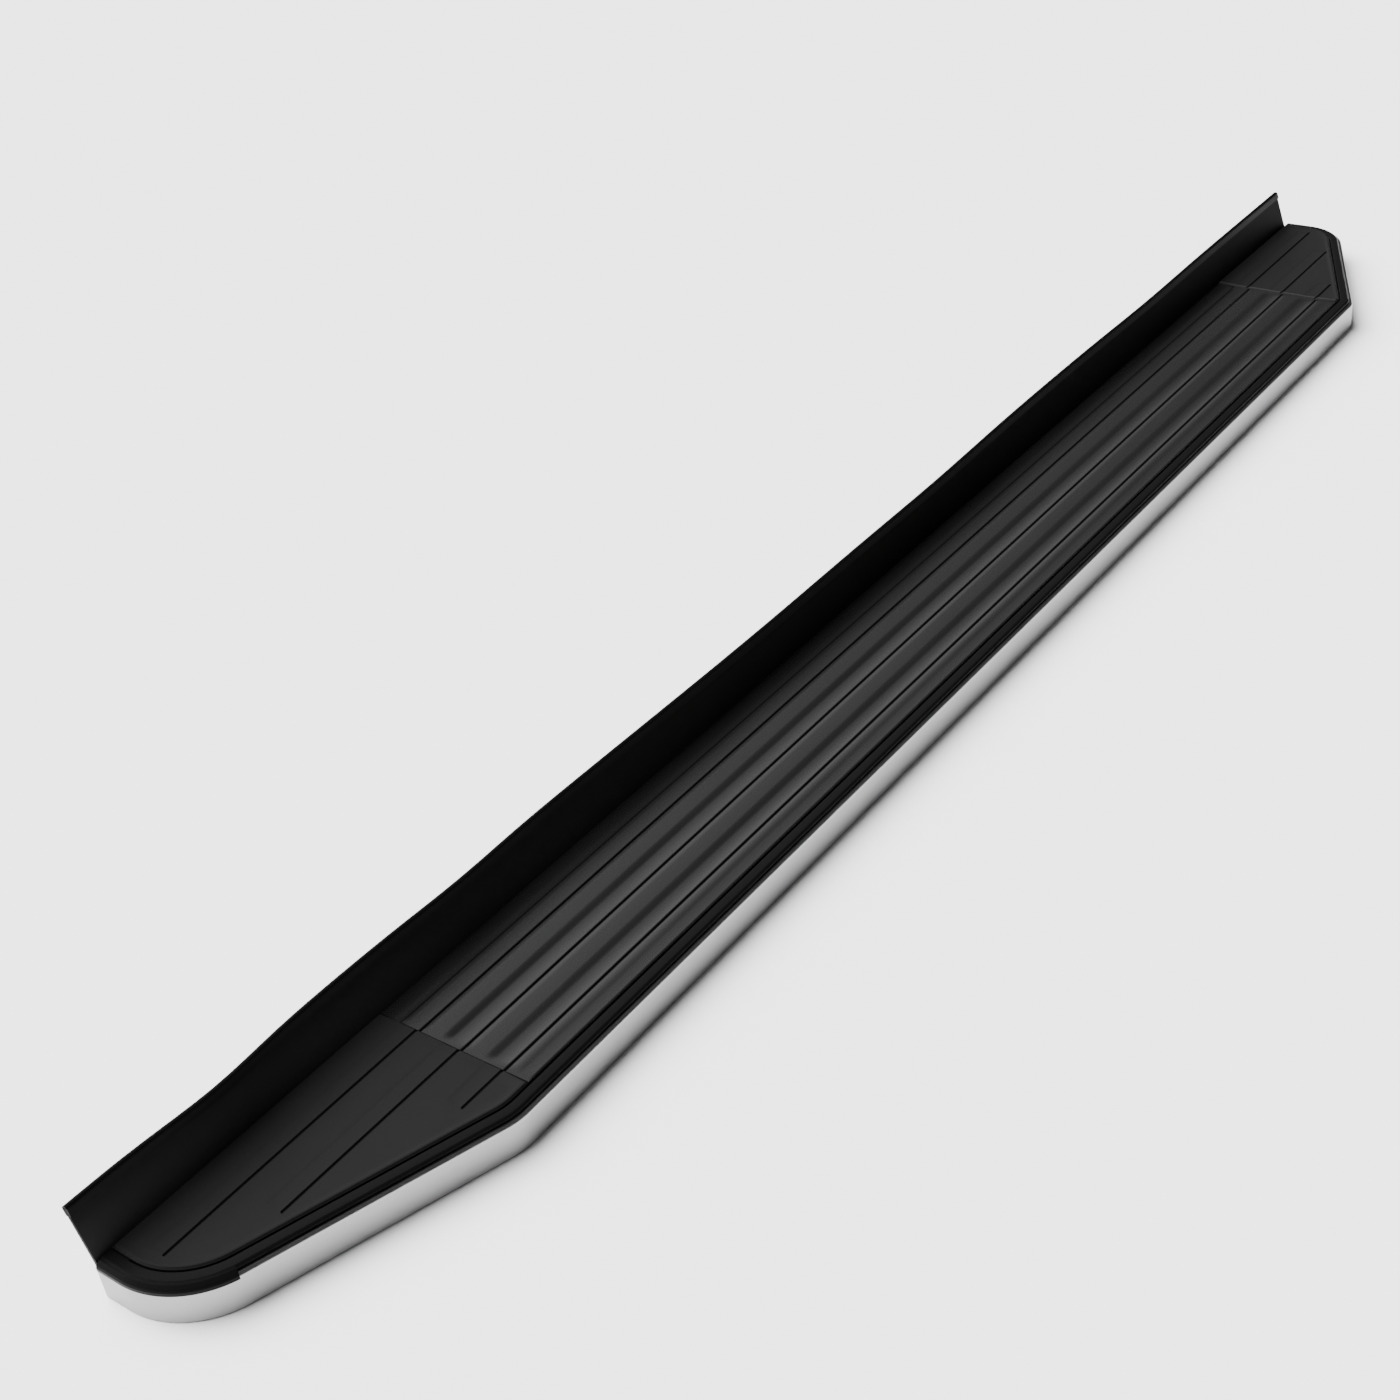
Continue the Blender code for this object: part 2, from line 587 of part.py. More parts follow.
def end_cap(name, outline_at, groove_ends, cap_screws):
    """Moulded cap with a beaded edge, three grooves that run on from the pad, and a block in the recess."""
    bead = CAP_BEAD_HEIGHT
    bottom = CAP_PLATE_THICKNESS
    inset, seam, inner = TREAD_INSET, GAP / 2, 2 * GAP
    levels = [
        (inset + bead, seam + bead, inner + bead, bottom),
        (inset, seam, inner, bottom - bead),
        (inset, seam, inner, bead),
        (inset + bead, seam + bead * 0.6, inner + bead, -bead * 0.6),
        (inset + bead * 4, seam + bead * 1.5, inner + bead * 2.5, -bead),
        (inset + bead * 9, seam + bead * 3.0, inner + bead * 5.0, 0.0),
    ]
    piece = stacked_outlines(name, outline_at, levels, PLASTIC_CAP)
    block_inner = STRIP_WIDTH + 2 * GAP
    block_outline = outline_at(TREAD_INSET + 2 * bead, 2 * bead, block_inner)
    block = plate(name + "_block", [block_outline], bottom - bead, RECESS_DEPTH - GAP)
    boolean(piece, block, "UNION")

    work = bmesh.new()
    insets = groove_insets(CAP_MIDDLE_GROOVE_INSET, CAP_GROOVE_PITCH)
    for groove_inset, (start, end) in zip(insets, groove_ends):
        middle = Vector(((start + end) / 2, across(groove_inset), height(0.0)))
        size = Vector((abs(end - start), GROOVE_WIDTH, 2 * GROOVE_DEPTH))
        bmesh.ops.create_cube(work, matrix=Matrix.Translation(middle) @ Matrix.Diagonal((*size, 1.0)))
    boolean(piece, place(name + "_grooves", mesh_from_bmesh(name, work)))

    holes = rods(
        name + "_screw_holes", cap_screws, SCREW_CLEAR_RADIUS, height(RECESS_DEPTH) - 0.002,
        height(GROOVE_DEPTH + GAP), Vector((0, 0, 1)), SCREW_SIDES)
    boolean(piece, holes)


def flap_offset(rise):
    """How far the flap has leant inwards at a height above its root."""
    return rise * math.tan(FLAP_LEAN)


def lofted_strip(name, section_at, material):
    """A strip along X between a front and a rear section of (inset, depth) points."""
    work = bmesh.new()
    rings = []
    for position, section in section_at:
        rings.append([work.verts.new((position, across(inset), height(depth))) for inset, depth in section])
    skin_rings(work, rings, closed=True)
    work.faces.new(rings[0])
    work.faces.new(rings[-1])
    return place(name, mesh_from_bmesh(name, work), material)


def flap_section(top_height):
    lean = flap_offset(top_height + FLAP_ROOT_DEPTH)
    return [
        (FLAP_FACE, RAIL_WALL_BOTTOM_DEPTH), (FLAP_FACE, FLAP_ROOT_DEPTH), (FLAP_FACE + lean, -top_height),
        (FLAP_BACK + lean, -top_height), (FLAP_BACK, FLAP_ROOT_DEPTH), (FLAP_BACK, RAIL_WALL_BOTTOM_DEPTH)]


def seal_section(top_height):
    """U-section that grips the top edge of the flap."""
    def at(side, depth_from_top):
        rise = top_height + FLAP_ROOT_DEPTH - depth_from_top
        return side + flap_offset(rise), depth_from_top - top_height
    inside_face, inside_back = FLAP_FACE - GAP, FLAP_BACK + GAP
    outside_face, outside_back = inside_face - SEAL_WALL, inside_back + SEAL_WALL
    crown = -GAP - SEAL_WALL
    return [
        at(outside_face, SEAL_HEIGHT), at(outside_face, crown / 2), at(outside_face + SEAL_WALL, crown),
        at(outside_back - SEAL_WALL, crown), at(outside_back, crown / 2), at(outside_back, SEAL_HEIGHT),
        at(inside_back, SEAL_HEIGHT), at(inside_back, -GAP), at(inside_face, -GAP),
        at(inside_face, SEAL_HEIGHT)]


def splash_flap(screw_places):
    ends = (FLAP_FRONT_INSET - HALF_LENGTH, HALF_LENGTH - FLAP_REAR_INSET)
    heights = (FLAP_HEIGHT_FRONT, FLAP_HEIGHT_REAR)
    sections = [(position, flap_section(top)) for position, top in zip(ends, heights)]
    flap = lofted_strip("splash_flap", sections, RUBBER_FLAP)
    seals = [(position, seal_section(top)) for position, top in zip(ends, heights)]
    lofted_strip("flap_edge_seal", seals, RUBBER_FLAP)
    holes = rods(
        "flap_screw_holes", screw_places, SCREW_CLEAR_RADIUS, across(FLAP_FACE) - 0.002,
        across(FLAP_BACK) + 0.002, Vector((0, 1, 0)), SCREW_SIDES)
    boolean(flap, holes)


def flap_retainer(screw_places):
    """Flat aluminium bar that clamps the flap's root to the rail."""
    top = RETAINER_BOTTOM_DEPTH - RETAINER_HEIGHT
    section = [
        (RETAINER_FACE, top), (RETAINER_BACK, top),
        (RETAINER_BACK, RETAINER_BOTTOM_DEPTH), (RETAINER_FACE, RETAINER_BOTTOM_DEPTH)]
    start = RETAINER_END_INSET - HALF_LENGTH
    bar_piece = bar("flap_retainer", [section], start, HALF_LENGTH - RETAINER_END_INSET, ALUMINIUM)
    holes = rods(
        "retainer_screw_holes", screw_places, SCREW_CLEAR_RADIUS, across(RETAINER_FACE) - 0.002,
        across(RETAINER_BACK) + 0.002, Vector((0, 1, 0)), SCREW_SIDES)
    boolean(bar_piece, holes)


def core_extrusion():
    """Hollow aluminium section with two T-slots that open downwards."""
    top, bottom = CORE_TOP_DEPTH, CORE_BOTTOM_DEPTH
    neck = BOLT_RADIUS + RUNNING_GAP
    pocket = BOLT_HEAD_WIDTH / 2 + RUNNING_GAP
    lip_top = bottom - T_SLOT_LIP
    pocket_top = lip_top - GAP - BOLT_HEAD_HEIGHT - RUNNING_GAP
    profile = [(CORE_INNER_INSET, top), (CORE_OUTER_INSET, top), (CORE_OUTER_INSET, bottom)]
    for centre in T_SLOT_INSETS:
        profile += [
            (centre - neck, bottom), (centre - neck, lip_top), (centre - pocket, lip_top),
            (centre - pocket, pocket_top), (centre + pocket, pocket_top),
            (centre + pocket, lip_top), (centre + neck, lip_top), (centre + neck, bottom)]
    profile.append((CORE_INNER_INSET, bottom))
    edges = [CORE_OUTER_INSET]
    for centre in T_SLOT_INSETS:
        edges += [centre - pocket, centre + pocket]
    edges.append(CORE_INNER_INSET)
    chambers = []
    for low, high in zip(edges[::2], edges[1::2]):
        chambers.append(rectangle((low + CORE_WALL, top + CORE_WALL), (high - CORE_WALL, bottom - CORE_WALL)))
    taper, bend = front_lines(SKIRT_INNER_INSET + CORE_END_MARGIN)[1], rear_lines(
        SKIRT_INNER_INSET + CORE_END_MARGIN)[0]
    side = outer_line(CORE_OUTER_INSET)
    bar("core_extrusion", [profile] + chambers, crossing(taper, side).x, crossing(side, bend).x, ALUMINIUM)


def bracket_section():
    """An L of folded plate: a foot under the core and an upright behind the flap."""
    thick, bend = BRACKET_THICKNESS, BRACKET_BEND_RADIUS
    front, back = BRACKET_OUTER_INSET, UPRIGHT_BACK
    top, bottom = BRACKET_TOP_DEPTH, BRACKET_BOTTOM_DEPTH
    centre = (back - thick - bend, top - bend)
    angles = [math.pi / 2 * step / 4 for step in range(5)]
    outer = [(centre[0] + (bend + thick) * math.sin(a), centre[1] + (bend + thick) * math.cos(a)) for a in angles]
    inner = [(centre[0] + bend * math.sin(a), centre[1] + bend * math.cos(a)) for a in reversed(angles)]
    return [(front, top), (front, bottom)] + outer + [
        (back, -BRACKET_RISE), (back - thick, -BRACKET_RISE)] + inner


def bracket(place_name, centre):
    """Bracket with round bolt holes in its foot and an upright slot for the vehicle bolt."""
    name = "bracket_" + place_name
    piece = bar(name, [bracket_section()], centre - BRACKET_WIDTH / 2, centre + BRACKET_WIDTH / 2, STEEL_BLACK)
    bolts = [(centre, across(inset), 0.0) for inset in T_SLOT_INSETS]
    holes = rods(
        name + "_bolt_holes", bolts, CLEAR_RADIUS, height(BRACKET_BOTTOM_DEPTH) - 0.002,
        height(BRACKET_TOP_DEPTH) + 0.002, Vector((0, 0, 1)), ROUND_SIDES)
    boolean(piece, holes)
    slot_radius = SLOT_WIDTH / 2
    slot_top = BRACKET_RISE - SLOT_TOP_MARGIN - slot_radius
    slot_bottom = slot_top - (SLOT_LENGTH - SLOT_WIDTH)
    angles = [math.pi * step / 8 for step in range(9)]
    loop = [(slot_radius * math.cos(a), slot_top + slot_radius * math.sin(a)) for a in angles]
    loop += [(-slot_radius * math.cos(a), slot_bottom - slot_radius * math.sin(a)) for a in angles]
    middle = Vector((centre, across(UPRIGHT_BACK - BRACKET_THICKNESS / 2), height(0.0)))
    turn = Matrix.Rotation(math.pi / 2, 4, "X")
    slot_mesh = prism_mesh(name + "_slot", [loop], 2 * BRACKET_THICKNESS)
    boolean(piece, place(name + "_slot", slot_mesh, None, middle, turn))


def bracket_fasteners(place_name, centre, side, inset):
    """T-bolt with its head in the slot, a washer and a nut under the bracket's foot."""
    label = place_name + "_" + side
    lip_top = CORE_BOTTOM_DEPTH - T_SLOT_LIP
    head_bottom = lip_top - GAP
    location = (centre, across(inset), 0.0)
    work = bmesh.new()
    size = (BOLT_HEAD_LENGTH, BOLT_HEAD_WIDTH, BOLT_HEAD_HEIGHT, 1.0)
    middle = Vector((centre, across(inset), height(head_bottom - BOLT_HEAD_HEIGHT / 2)))
    bmesh.ops.create_cube(work, matrix=Matrix.Translation(middle) @ Matrix.Diagonal(size))
    bolt = place("t_bolt_" + label, mesh_from_bmesh("t_bolt", work), STEEL_ZINC)
    shank = rods(
        "t_bolt_shank_" + label, [location], BOLT_RADIUS, height(BOLT_END_DEPTH),
        height(head_bottom - BOLT_HEAD_HEIGHT / 2), Vector((0, 0, 1)), ROUND_SIDES)
    boolean(bolt, shank, "UNION")
    centre_xy = (centre, across(inset))
    bore = circle(CLEAR_RADIUS, ROUND_SIDES, centre_xy)
    washer_bottom = WASHER_TOP_DEPTH + WASHER_THICKNESS
    washer_loops = [circle(WASHER_RADIUS, ROUND_SIDES, centre_xy), bore]
    plate("washer_" + label, washer_loops, WASHER_TOP_DEPTH, washer_bottom, STEEL_ZINC)
    nut_loops = [circle(NUT_FLATS / math.sqrt(3), 6, centre_xy), bore]
    plate("nut_" + label, nut_loops, NUT_TOP_DEPTH, NUT_TOP_DEPTH + NUT_HEIGHT, STEEL_ZINC)


def screws(name, places, seat, outward, grip):
    """Pan-head screws whose heads stand out along the outward axis from their seat."""
    turn = Vector((0, 0, 1)).rotation_difference(outward).to_matrix().to_4x4()
    for number, point in enumerate(places, start=1):
        location = Vector(point) + outward * seat
        turned(f"{name}_{number}", screw_profile(grip), STEEL_ZINC, location, turn)


def build():
    trim_ends = (FRONT_BEND_START + TRIM_SCREW_MARGIN, BOARD_LENGTH - REAR_BEND_START - TRIM_SCREW_MARGIN)
    trim_places = [
        (x - HALF_LENGTH, across(BOSS_INSET), 0.0) for x in spread(*trim_ends, TRIM_SCREW_COUNT)]
    retainer_ends = HALF_LENGTH - 2 * RETAINER_END_INSET
    retainer_places = [
        (x, 0.0, height(RETAINER_MIDDLE_DEPTH))
        for x in spread(-retainer_ends, retainer_ends, RETAINER_SCREW_COUNT)]
    lands = [CAP_MIDDLE_GROOVE_INSET + CAP_GROOVE_PITCH * share for share in (-0.25, 0.75)]
    front_places = [(FRONT_SEAM - CAP_SCREW_INSET, across(inset), 0.0) for inset in lands]
    rear_places = [(REAR_SEAM + CAP_SCREW_INSET, across(inset), 0.0) for inset in lands]

    trim_strip(trim_places)
    surround(trim_places, retainer_places, front_places + rear_places)
    tread_pad()
    seam_reach = 2 * CAP_BEAD_HEIGHT
    front_grooves = [(end - HALF_LENGTH, FRONT_SEAM + seam_reach) for end in FRONT_GROOVE_ENDS]
    rear_grooves = [(REAR_SEAM - seam_reach, HALF_LENGTH - end) for end in REAR_GROOVE_ENDS]
    end_cap("front_end_cap", front_cap_outline, front_grooves, front_places)
    end_cap("rear_end_cap", rear_cap_outline, rear_grooves, rear_places)
    splash_flap(retainer_places)
    flap_retainer(retainer_places)
    core_extrusion()
    for place_name, position in BRACKET_POSITIONS.items():
        centre = position - HALF_LENGTH
        bracket(place_name, centre)
        for side, inset in zip(("outer", "inner"), T_SLOT_INSETS):
            bracket_fasteners(place_name, centre, side, inset)

    down, inwards = Vector((0, 0, -1)), Vector((0, 1, 0))
    screws("trim_screw", trim_places, -height(HEM_SEAT_DEPTH) + GAP, down, SCREW_GRIP)
    retainer_seat = across(RETAINER_BACK) + GAP
    retainer_grip = RETAINER_THICKNESS + FLAP_THICKNESS + 3 * GAP + RETAINER_SCREW_GRIP
    screws("retainer_screw", retainer_places, retainer_seat, inwards, retainer_grip)
    cap_seat = -height(FLOOR_BOTTOM_DEPTH) + GAP
    cap_grip = FLOOR_BOTTOM_DEPTH - GROOVE_DEPTH - GAP
    screws("front_cap_screw", front_places, cap_seat, down, cap_grip)
    screws("rear_cap_screw", rear_places, cap_seat, down, cap_grip)


clear_scene()
PARTS = make_collection(COLLECTION_NAME)
CUTTERS = make_collection(COLLECTION_NAME + "_cutters")
STEEL_BRIGHT = make_material("bright_trim", (0.62, 0.62, 0.63), 0.22, 1.0)
PLASTIC_GLOSS = make_material("gloss_black_moulding", (0.010, 0.010, 0.011), 0.18)
RUBBER_TREAD = make_material("tread_rubber", (0.030, 0.030, 0.032), 0.50)
PLASTIC_CAP = make_material("cap_plastic", (0.033, 0.033, 0.035), 0.55)
RUBBER_FLAP = make_material("flap_rubber", (0.008, 0.008, 0.008), 0.60)
ALUMINIUM = make_material("mill_aluminium", (0.55, 0.56, 0.57), 0.38, 1.0)
STEEL_BLACK = make_material("black_coated_steel", (0.018, 0.018, 0.019), 0.42)
STEEL_ZINC = make_material("zinc_plated_steel", (0.52, 0.53, 0.55), 0.32, 1.0)
build()
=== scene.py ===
"""A vehicle running board standing on a pale floor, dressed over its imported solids."""
import math

import bmesh
import bpy
from mathutils import Matrix, Vector
from mathutils.geometry import delaunay_2d_cdt


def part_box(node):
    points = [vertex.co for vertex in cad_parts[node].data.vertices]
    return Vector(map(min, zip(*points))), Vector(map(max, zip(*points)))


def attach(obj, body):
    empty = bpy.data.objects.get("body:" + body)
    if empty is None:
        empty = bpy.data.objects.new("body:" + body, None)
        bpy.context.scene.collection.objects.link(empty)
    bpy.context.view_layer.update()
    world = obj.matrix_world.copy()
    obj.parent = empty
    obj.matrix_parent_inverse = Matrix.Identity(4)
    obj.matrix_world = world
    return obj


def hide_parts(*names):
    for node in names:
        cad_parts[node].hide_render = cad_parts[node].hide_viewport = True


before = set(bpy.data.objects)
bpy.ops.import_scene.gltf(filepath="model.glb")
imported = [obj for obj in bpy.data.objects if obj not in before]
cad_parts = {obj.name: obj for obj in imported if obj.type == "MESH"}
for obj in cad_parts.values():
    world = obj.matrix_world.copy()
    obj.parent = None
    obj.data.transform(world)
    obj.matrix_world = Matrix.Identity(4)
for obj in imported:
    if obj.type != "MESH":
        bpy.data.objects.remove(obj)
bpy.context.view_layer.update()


# ---- Floor, light and camera -------------------------------------------------------------------
# A plain pale studio floor under one broad high light, with a bright wall beyond the vehicle side.
# The camera looks along the board from above its front outer corner.
class Wire:
    """A socket in a node tree. Sums on it add Math nodes, and node() adds any other node."""

    def __init__(self, tree, socket=None):
        self.tree = tree
        self.socket = socket

    def node(self, kind, settings=None, inputs=None, output=0):
        added = self.tree.nodes.new(kind)
        for name, value in (settings or {}).items():
            setattr(added, name, value)
        for name, value in (inputs or {}).items():
            if isinstance(value, Wire):
                self.tree.links.new(value.socket, added.inputs[name])
            else:
                added.inputs[name].default_value = value
        return Wire(self.tree, added.outputs[output])

    def maths(self, operation, first, second=0.0):
        return self.node("ShaderNodeMath", {"operation": operation}, {0: first, 1: second})

    def clamped(self):
        return self.node("ShaderNodeMath", {"operation": "ADD", "use_clamp": True}, {0: self, 1: 0.0})

    def into(self, target):
        self.tree.links.new(self.socket, target)

    def __add__(self, other):
        return self.maths("ADD", self, other)

    def __radd__(self, other):
        return self.maths("ADD", other, self)

    def __sub__(self, other):
        return self.maths("SUBTRACT", self, other)

    def __rsub__(self, other):
        return self.maths("SUBTRACT", other, self)

    def __mul__(self, other):
        return self.maths("MULTIPLY", self, other)

    def __rmul__(self, other):
        return self.maths("MULTIPLY", other, self)

    def __truediv__(self, other):
        return self.maths("DIVIDE", self, other)

    def __rtruediv__(self, other):
        return self.maths("DIVIDE", other, self)


def finish(name, colour, roughness, metallic=0.0, specular=0.5):
    """A Principled material, with its shader and its Object coordinates."""
    material = bpy.data.materials.new(name)
    material.use_nodes = True
    shader = material.node_tree.nodes["Principled BSDF"]
    shader.inputs["Base Color"].default_value = (*colour, 1.0)
    shader.inputs["Roughness"].default_value = roughness
    shader.inputs["Metallic"].default_value = metallic
    shader.inputs["Specular IOR Level"].default_value = specular
    place = Wire(material.node_tree).node("ShaderNodeTexCoord", output="Object")
    return material, shader, place


def grain(place, scale, detail=2.0, stretch=(1.0, 1.0, 1.0), roughness=0.5):
    """Noise around 0.5, stretched by a scale for each axis."""
    stretched = place.node("ShaderNodeMapping", {}, {"Vector": place, "Scale": stretch})
    return place.node(
        "ShaderNodeTexNoise", {},
        {"Vector": stretched, "Scale": scale, "Detail": detail, "Roughness": roughness})


def tinted(factor, low, high):
    """A colour between two, by a factor."""
    return factor.node(
        "ShaderNodeMix", {"data_type": "RGBA", "clamp_factor": True},
        {0: factor, 6: (*low, 1.0), 7: (*high, 1.0)}, output=2)


def relief(height, shader, strength, distance):
    """Bumps a material's surface by a height."""
    height.node(
        "ShaderNodeBump", {}, {"Strength": strength, "Distance": distance, "Height": height}
    ).into(shader.inputs["Normal"])


def placed(name, data):
    """A new object in the scene."""
    thing = bpy.data.objects.new(name, data)
    bpy.context.scene.collection.objects.link(thing)
    return thing


FLOOR_REACH = 30
floor_corners = [(x * FLOOR_REACH, y * FLOOR_REACH, 0) for x, y in ((-1, -1), (1, -1), (1, 1), (-1, 1))]
floor_mesh = bpy.data.meshes.new("studio_floor")
floor_mesh.from_pydata(floor_corners, [], [(0, 1, 2, 3)])
floor = placed("studio_floor", floor_mesh)
floor_paint, floor_shader, floor_place = finish("pale_floor", (0.80, 0.80, 0.80), 0.9, specular=0.1)
tinted(grain(floor_place, 1.5), (0.79, 0.79, 0.79), (0.81, 0.81, 0.81)).into(
    floor_shader.inputs["Base Color"])
floor_mesh.materials.append(floor_paint)

world = bpy.data.worlds.new("studio_fill")
bpy.context.scene.world = world
world.use_nodes = True
backdrop = world.node_tree.nodes["Background"]
backdrop.inputs["Color"].default_value = (1.0, 1.0, 1.0, 1.0)
sky = Wire(world.node_tree).node("ShaderNodeTexCoord", output="Generated")
towards_wall = sky.node("ShaderNodeSeparateXYZ", {}, {"Vector": sky}, output="Y")
sky.node(
    "ShaderNodeMapRange", {"interpolation_type": "SMOOTHSTEP"},
    {"Value": towards_wall, "From Min": 0.34, "From Max": 0.80, "To Min": 0.13, "To Max": 2.2}
).into(backdrop.inputs["Strength"])

# The light is a wide soft disc, and stays out of reflections so that only the wall shines on the black.
high_light = bpy.data.lights.new("high_light", "SUN")
high_light.energy = 15.5
high_light.angle = math.radians(62.0)
lamp = bpy.data.objects.new("high_light", high_light)
lamp.rotation_euler = Vector((-0.16, 0.66, 1.0)).to_track_quat("Z", "Y").to_euler()
lamp.visible_glossy = False
bpy.context.scene.collection.objects.link(lamp)

camera = bpy.data.cameras.new("view_along_board")
camera.lens = 53.3
camera.sensor_width = 36.0
camera.clip_end = 200.0
tripod = bpy.data.objects.new("view_along_board", camera)
tripod.location = (-1.3283, -0.8312, 0.9777)
tripod.rotation_euler = [math.radians(turn) for turn in (56.3595, 6.0387, -53.9171)]
bpy.context.scene.collection.objects.link(tripod)
bpy.context.scene.camera = tripod


# ---- Bright strip ------------------------------------------------------------------------------
# Stainless strip folded to a channel: a stepped hem below, a face with a rounded top edge, and a
# flange that tucks under the black rim. It is bent round both ends and brushed along its length.
HALF_LENGTH = 0.907
OUTER_Y = -0.088
INNER_Y = 0.062
TREAD_Z = 0.0327
FRONT_TAPER = 0.230
FRONT_ANGLE = math.radians(19.4)
FRONT_NOSE = 0.068
FRONT_BEND = 0.060
REAR_TAPER = 0.1855
REAR_ANGLE = math.radians(25.8)
REAR_NOSE = 0.052
REAR_BEND = 0.024
BEND_STEPS = 28


def edge_line(inset, stop):
    """Plan of the board's edge, inset from the strip's face, from the front inner corner round."""
    corners = [
        Vector((-HALF_LENGTH, INNER_Y)),
        Vector((-HALF_LENGTH, OUTER_Y + FRONT_TAPER * math.tan(FRONT_ANGLE))),
        Vector((FRONT_TAPER - HALF_LENGTH, OUTER_Y)),
        Vector((HALF_LENGTH - REAR_TAPER, OUTER_Y)),
        Vector((HALF_LENGTH, OUTER_Y + REAR_TAPER * math.tan(REAR_ANGLE))),
        Vector((HALF_LENGTH, INNER_Y))]
    line = [Vector((inset - HALF_LENGTH, INNER_Y - stop))]
    bends = zip(corners, corners[1:], corners[2:], (FRONT_NOSE, FRONT_BEND, REAR_BEND, REAR_NOSE))
    for before, corner, after, radius in bends:
        run_in = (corner - before).normalized()
        run_out = (after - corner).normalized()
        left_in = Vector((-run_in.y, run_in.x))
        left_out = Vector((-run_out.y, run_out.x))
        moved = corner + (left_in + left_out) * inset / (1 + left_in.dot(left_out))
        turn = run_in.angle(run_out)
        bend = max(radius - inset, 0.0005)
        centre = moved - run_in * bend * math.tan(turn / 2) + left_in * bend
        for step in range(BEND_STEPS + 1):
            line.append(centre + Matrix.Rotation(turn * step / BEND_STEPS, 2) @ (-left_in * bend))
    line.append(Vector((HALF_LENGTH - inset, INNER_Y - stop)))
    return line


def softened(corners, steps=6):
    """A closed section from (across, up, radius) corners, with each corner rounded."""
    section = []
    for index, (across, rise, radius) in enumerate(corners):
        corner = Vector((across, rise))
        back_way = Vector(corners[index - 1][:2]) - corner
        ahead = Vector(corners[(index + 1) % len(corners)][:2]) - corner
        if not radius:
            section.append(corner)
            continue
        reach = radius * math.tan((math.pi - back_way.angle(ahead)) / 2)
        start = corner + back_way.normalized() * reach
        end = corner + ahead.normalized() * reach
        for step in range(steps + 1):
            share = step / steps
            section.append(start * (1 - share) ** 2 + corner * 2 * share * (1 - share) + end * share ** 2)
    return section


def poly_curve(name, points, closed):
    """A curve of straight runs through points in plan or in space."""
    curve = bpy.data.curves.new(name, "CURVE")
    curve.dimensions = "3D"
    spline = curve.splines.new("POLY")
    spline.points.add(len(points) - 1)
    for point, place in zip(spline.points, points):
        point.co = (*place, *[0.0] * (3 - len(place)), 1.0)
    spline.use_cyclic_u = closed
    line = placed(name, curve)
    return line


def settled(source, name, crease=32.0, merge=0.00001):
    """The evaluated shape as a plain closed mesh, smooth except at its creases, at the origin."""
    depsgraph = bpy.context.evaluated_depsgraph_get()
    mesh = bpy.data.meshes.new_from_object(source.evaluated_get(depsgraph), depsgraph=depsgraph)
    mesh.transform(source.matrix_world)
    mesh.name = name
    work = bmesh.new()
    work.from_mesh(mesh)
    bmesh.ops.remove_doubles(work, verts=work.verts, dist=merge)
    bmesh.ops.recalc_face_normals(work, faces=work.faces)
    work.to_mesh(mesh)
    work.free()
    mesh.shade_smooth()
    mesh.set_sharp_from_angle(angle=math.radians(crease))
    bpy.data.objects.remove(source, do_unlink=True)
    piece = placed(name, mesh)
    return piece


def node_inputs(tree, **kinds):
    """Gives a geometry tree its named inputs, and returns them by name."""
    tree.interface.new_socket("Geometry", in_out="INPUT", socket_type="NodeSocketGeometry")
    for name, kind in kinds.items():
        tree.interface.new_socket(name, in_out="INPUT", socket_type="NodeSocket" + kind)
    tree.interface.new_socket("Geometry", in_out="OUTPUT", socket_type="NodeSocketGeometry")
    entry = tree.nodes.new("NodeGroupInput")
    return {socket.name: Wire(tree, socket) for socket in entry.outputs if socket.name}


def tree_ends(shape, material):
    """Closes a geometry tree with Realize Instances and Set Material."""
    real = shape.node("GeometryNodeRealizeInstances", {}, {"Geometry": shape})
    coated = real.node("GeometryNodeSetMaterial", {}, {"Geometry": real, "Material": material})
    coated.into(coated.tree.nodes.new("NodeGroupOutput").inputs["Geometry"])


def grown(source, tree, values):
    """Adds a geometry tree to an object and sets its inputs by their sockets."""
    grow = source.modifiers.new(tree.name, "NODES")
    grow.node_group = tree
    for item in tree.interface.items_tree:
        if item.in_out == "INPUT" and item.name in values:
            grow[item.identifier] = values[item.name]
    return source


carry_tree = bpy.data.node_groups.new("section_along_line", "GeometryNodeTree")
carry = node_inputs(carry_tree, Section="Object", Finish="Material")
upright = carry["Geometry"].node(
    "GeometryNodeSetCurveNormal", {"mode": "Z_UP"}, {"Curve": carry["Geometry"]})
outline_of = upright.node("GeometryNodeObjectInfo", {}, {"Object": carry["Section"]}, output="Geometry")
tree_ends(
    upright.node(
        "GeometryNodeCurveToMesh", {}, {"Curve": upright, "Profile Curve": outline_of, "Fill Caps": True}),
    carry["Finish"])


def level_line(points):
    """Points in plan as points in space, at height zero."""
    return [(*point, 0.0) for point in points]


def carried(name, line, section, material, crease=32.0):
    """A closed section of (inwards, up) points carried along a line that has the board on its left."""
    rail = poly_curve(name + "_line", line, closed=False)
    profile = poly_curve(name + "_section", [(-across, -rise) for across, rise in section], closed=True)
    piece = settled(grown(rail, carry_tree, {"Section": profile, "Finish": material}), name, crease)
    bpy.data.objects.remove(profile, do_unlink=True)
    return piece


steel, steel_shader, steel_place = finish("brushed_bright_steel", (0.37, 0.37, 0.374), 0.25, metallic=1.0)
brushing = grain(steel_place, 1.0, 3.0, (5.0, 5.0, 2600.0), 0.6)
handling = grain(steel_place, 14.0, 4.0)
(0.20 + brushing * 0.16 + handling * 0.08).into(steel_shader.inputs["Roughness"])
tinted(handling * 0.6 + brushing * 0.4, (0.29, 0.29, 0.294), (0.36, 0.36, 0.366)).into(
    steel_shader.inputs["Base Color"])
relief(brushing, steel_shader, 0.10, 0.00006)

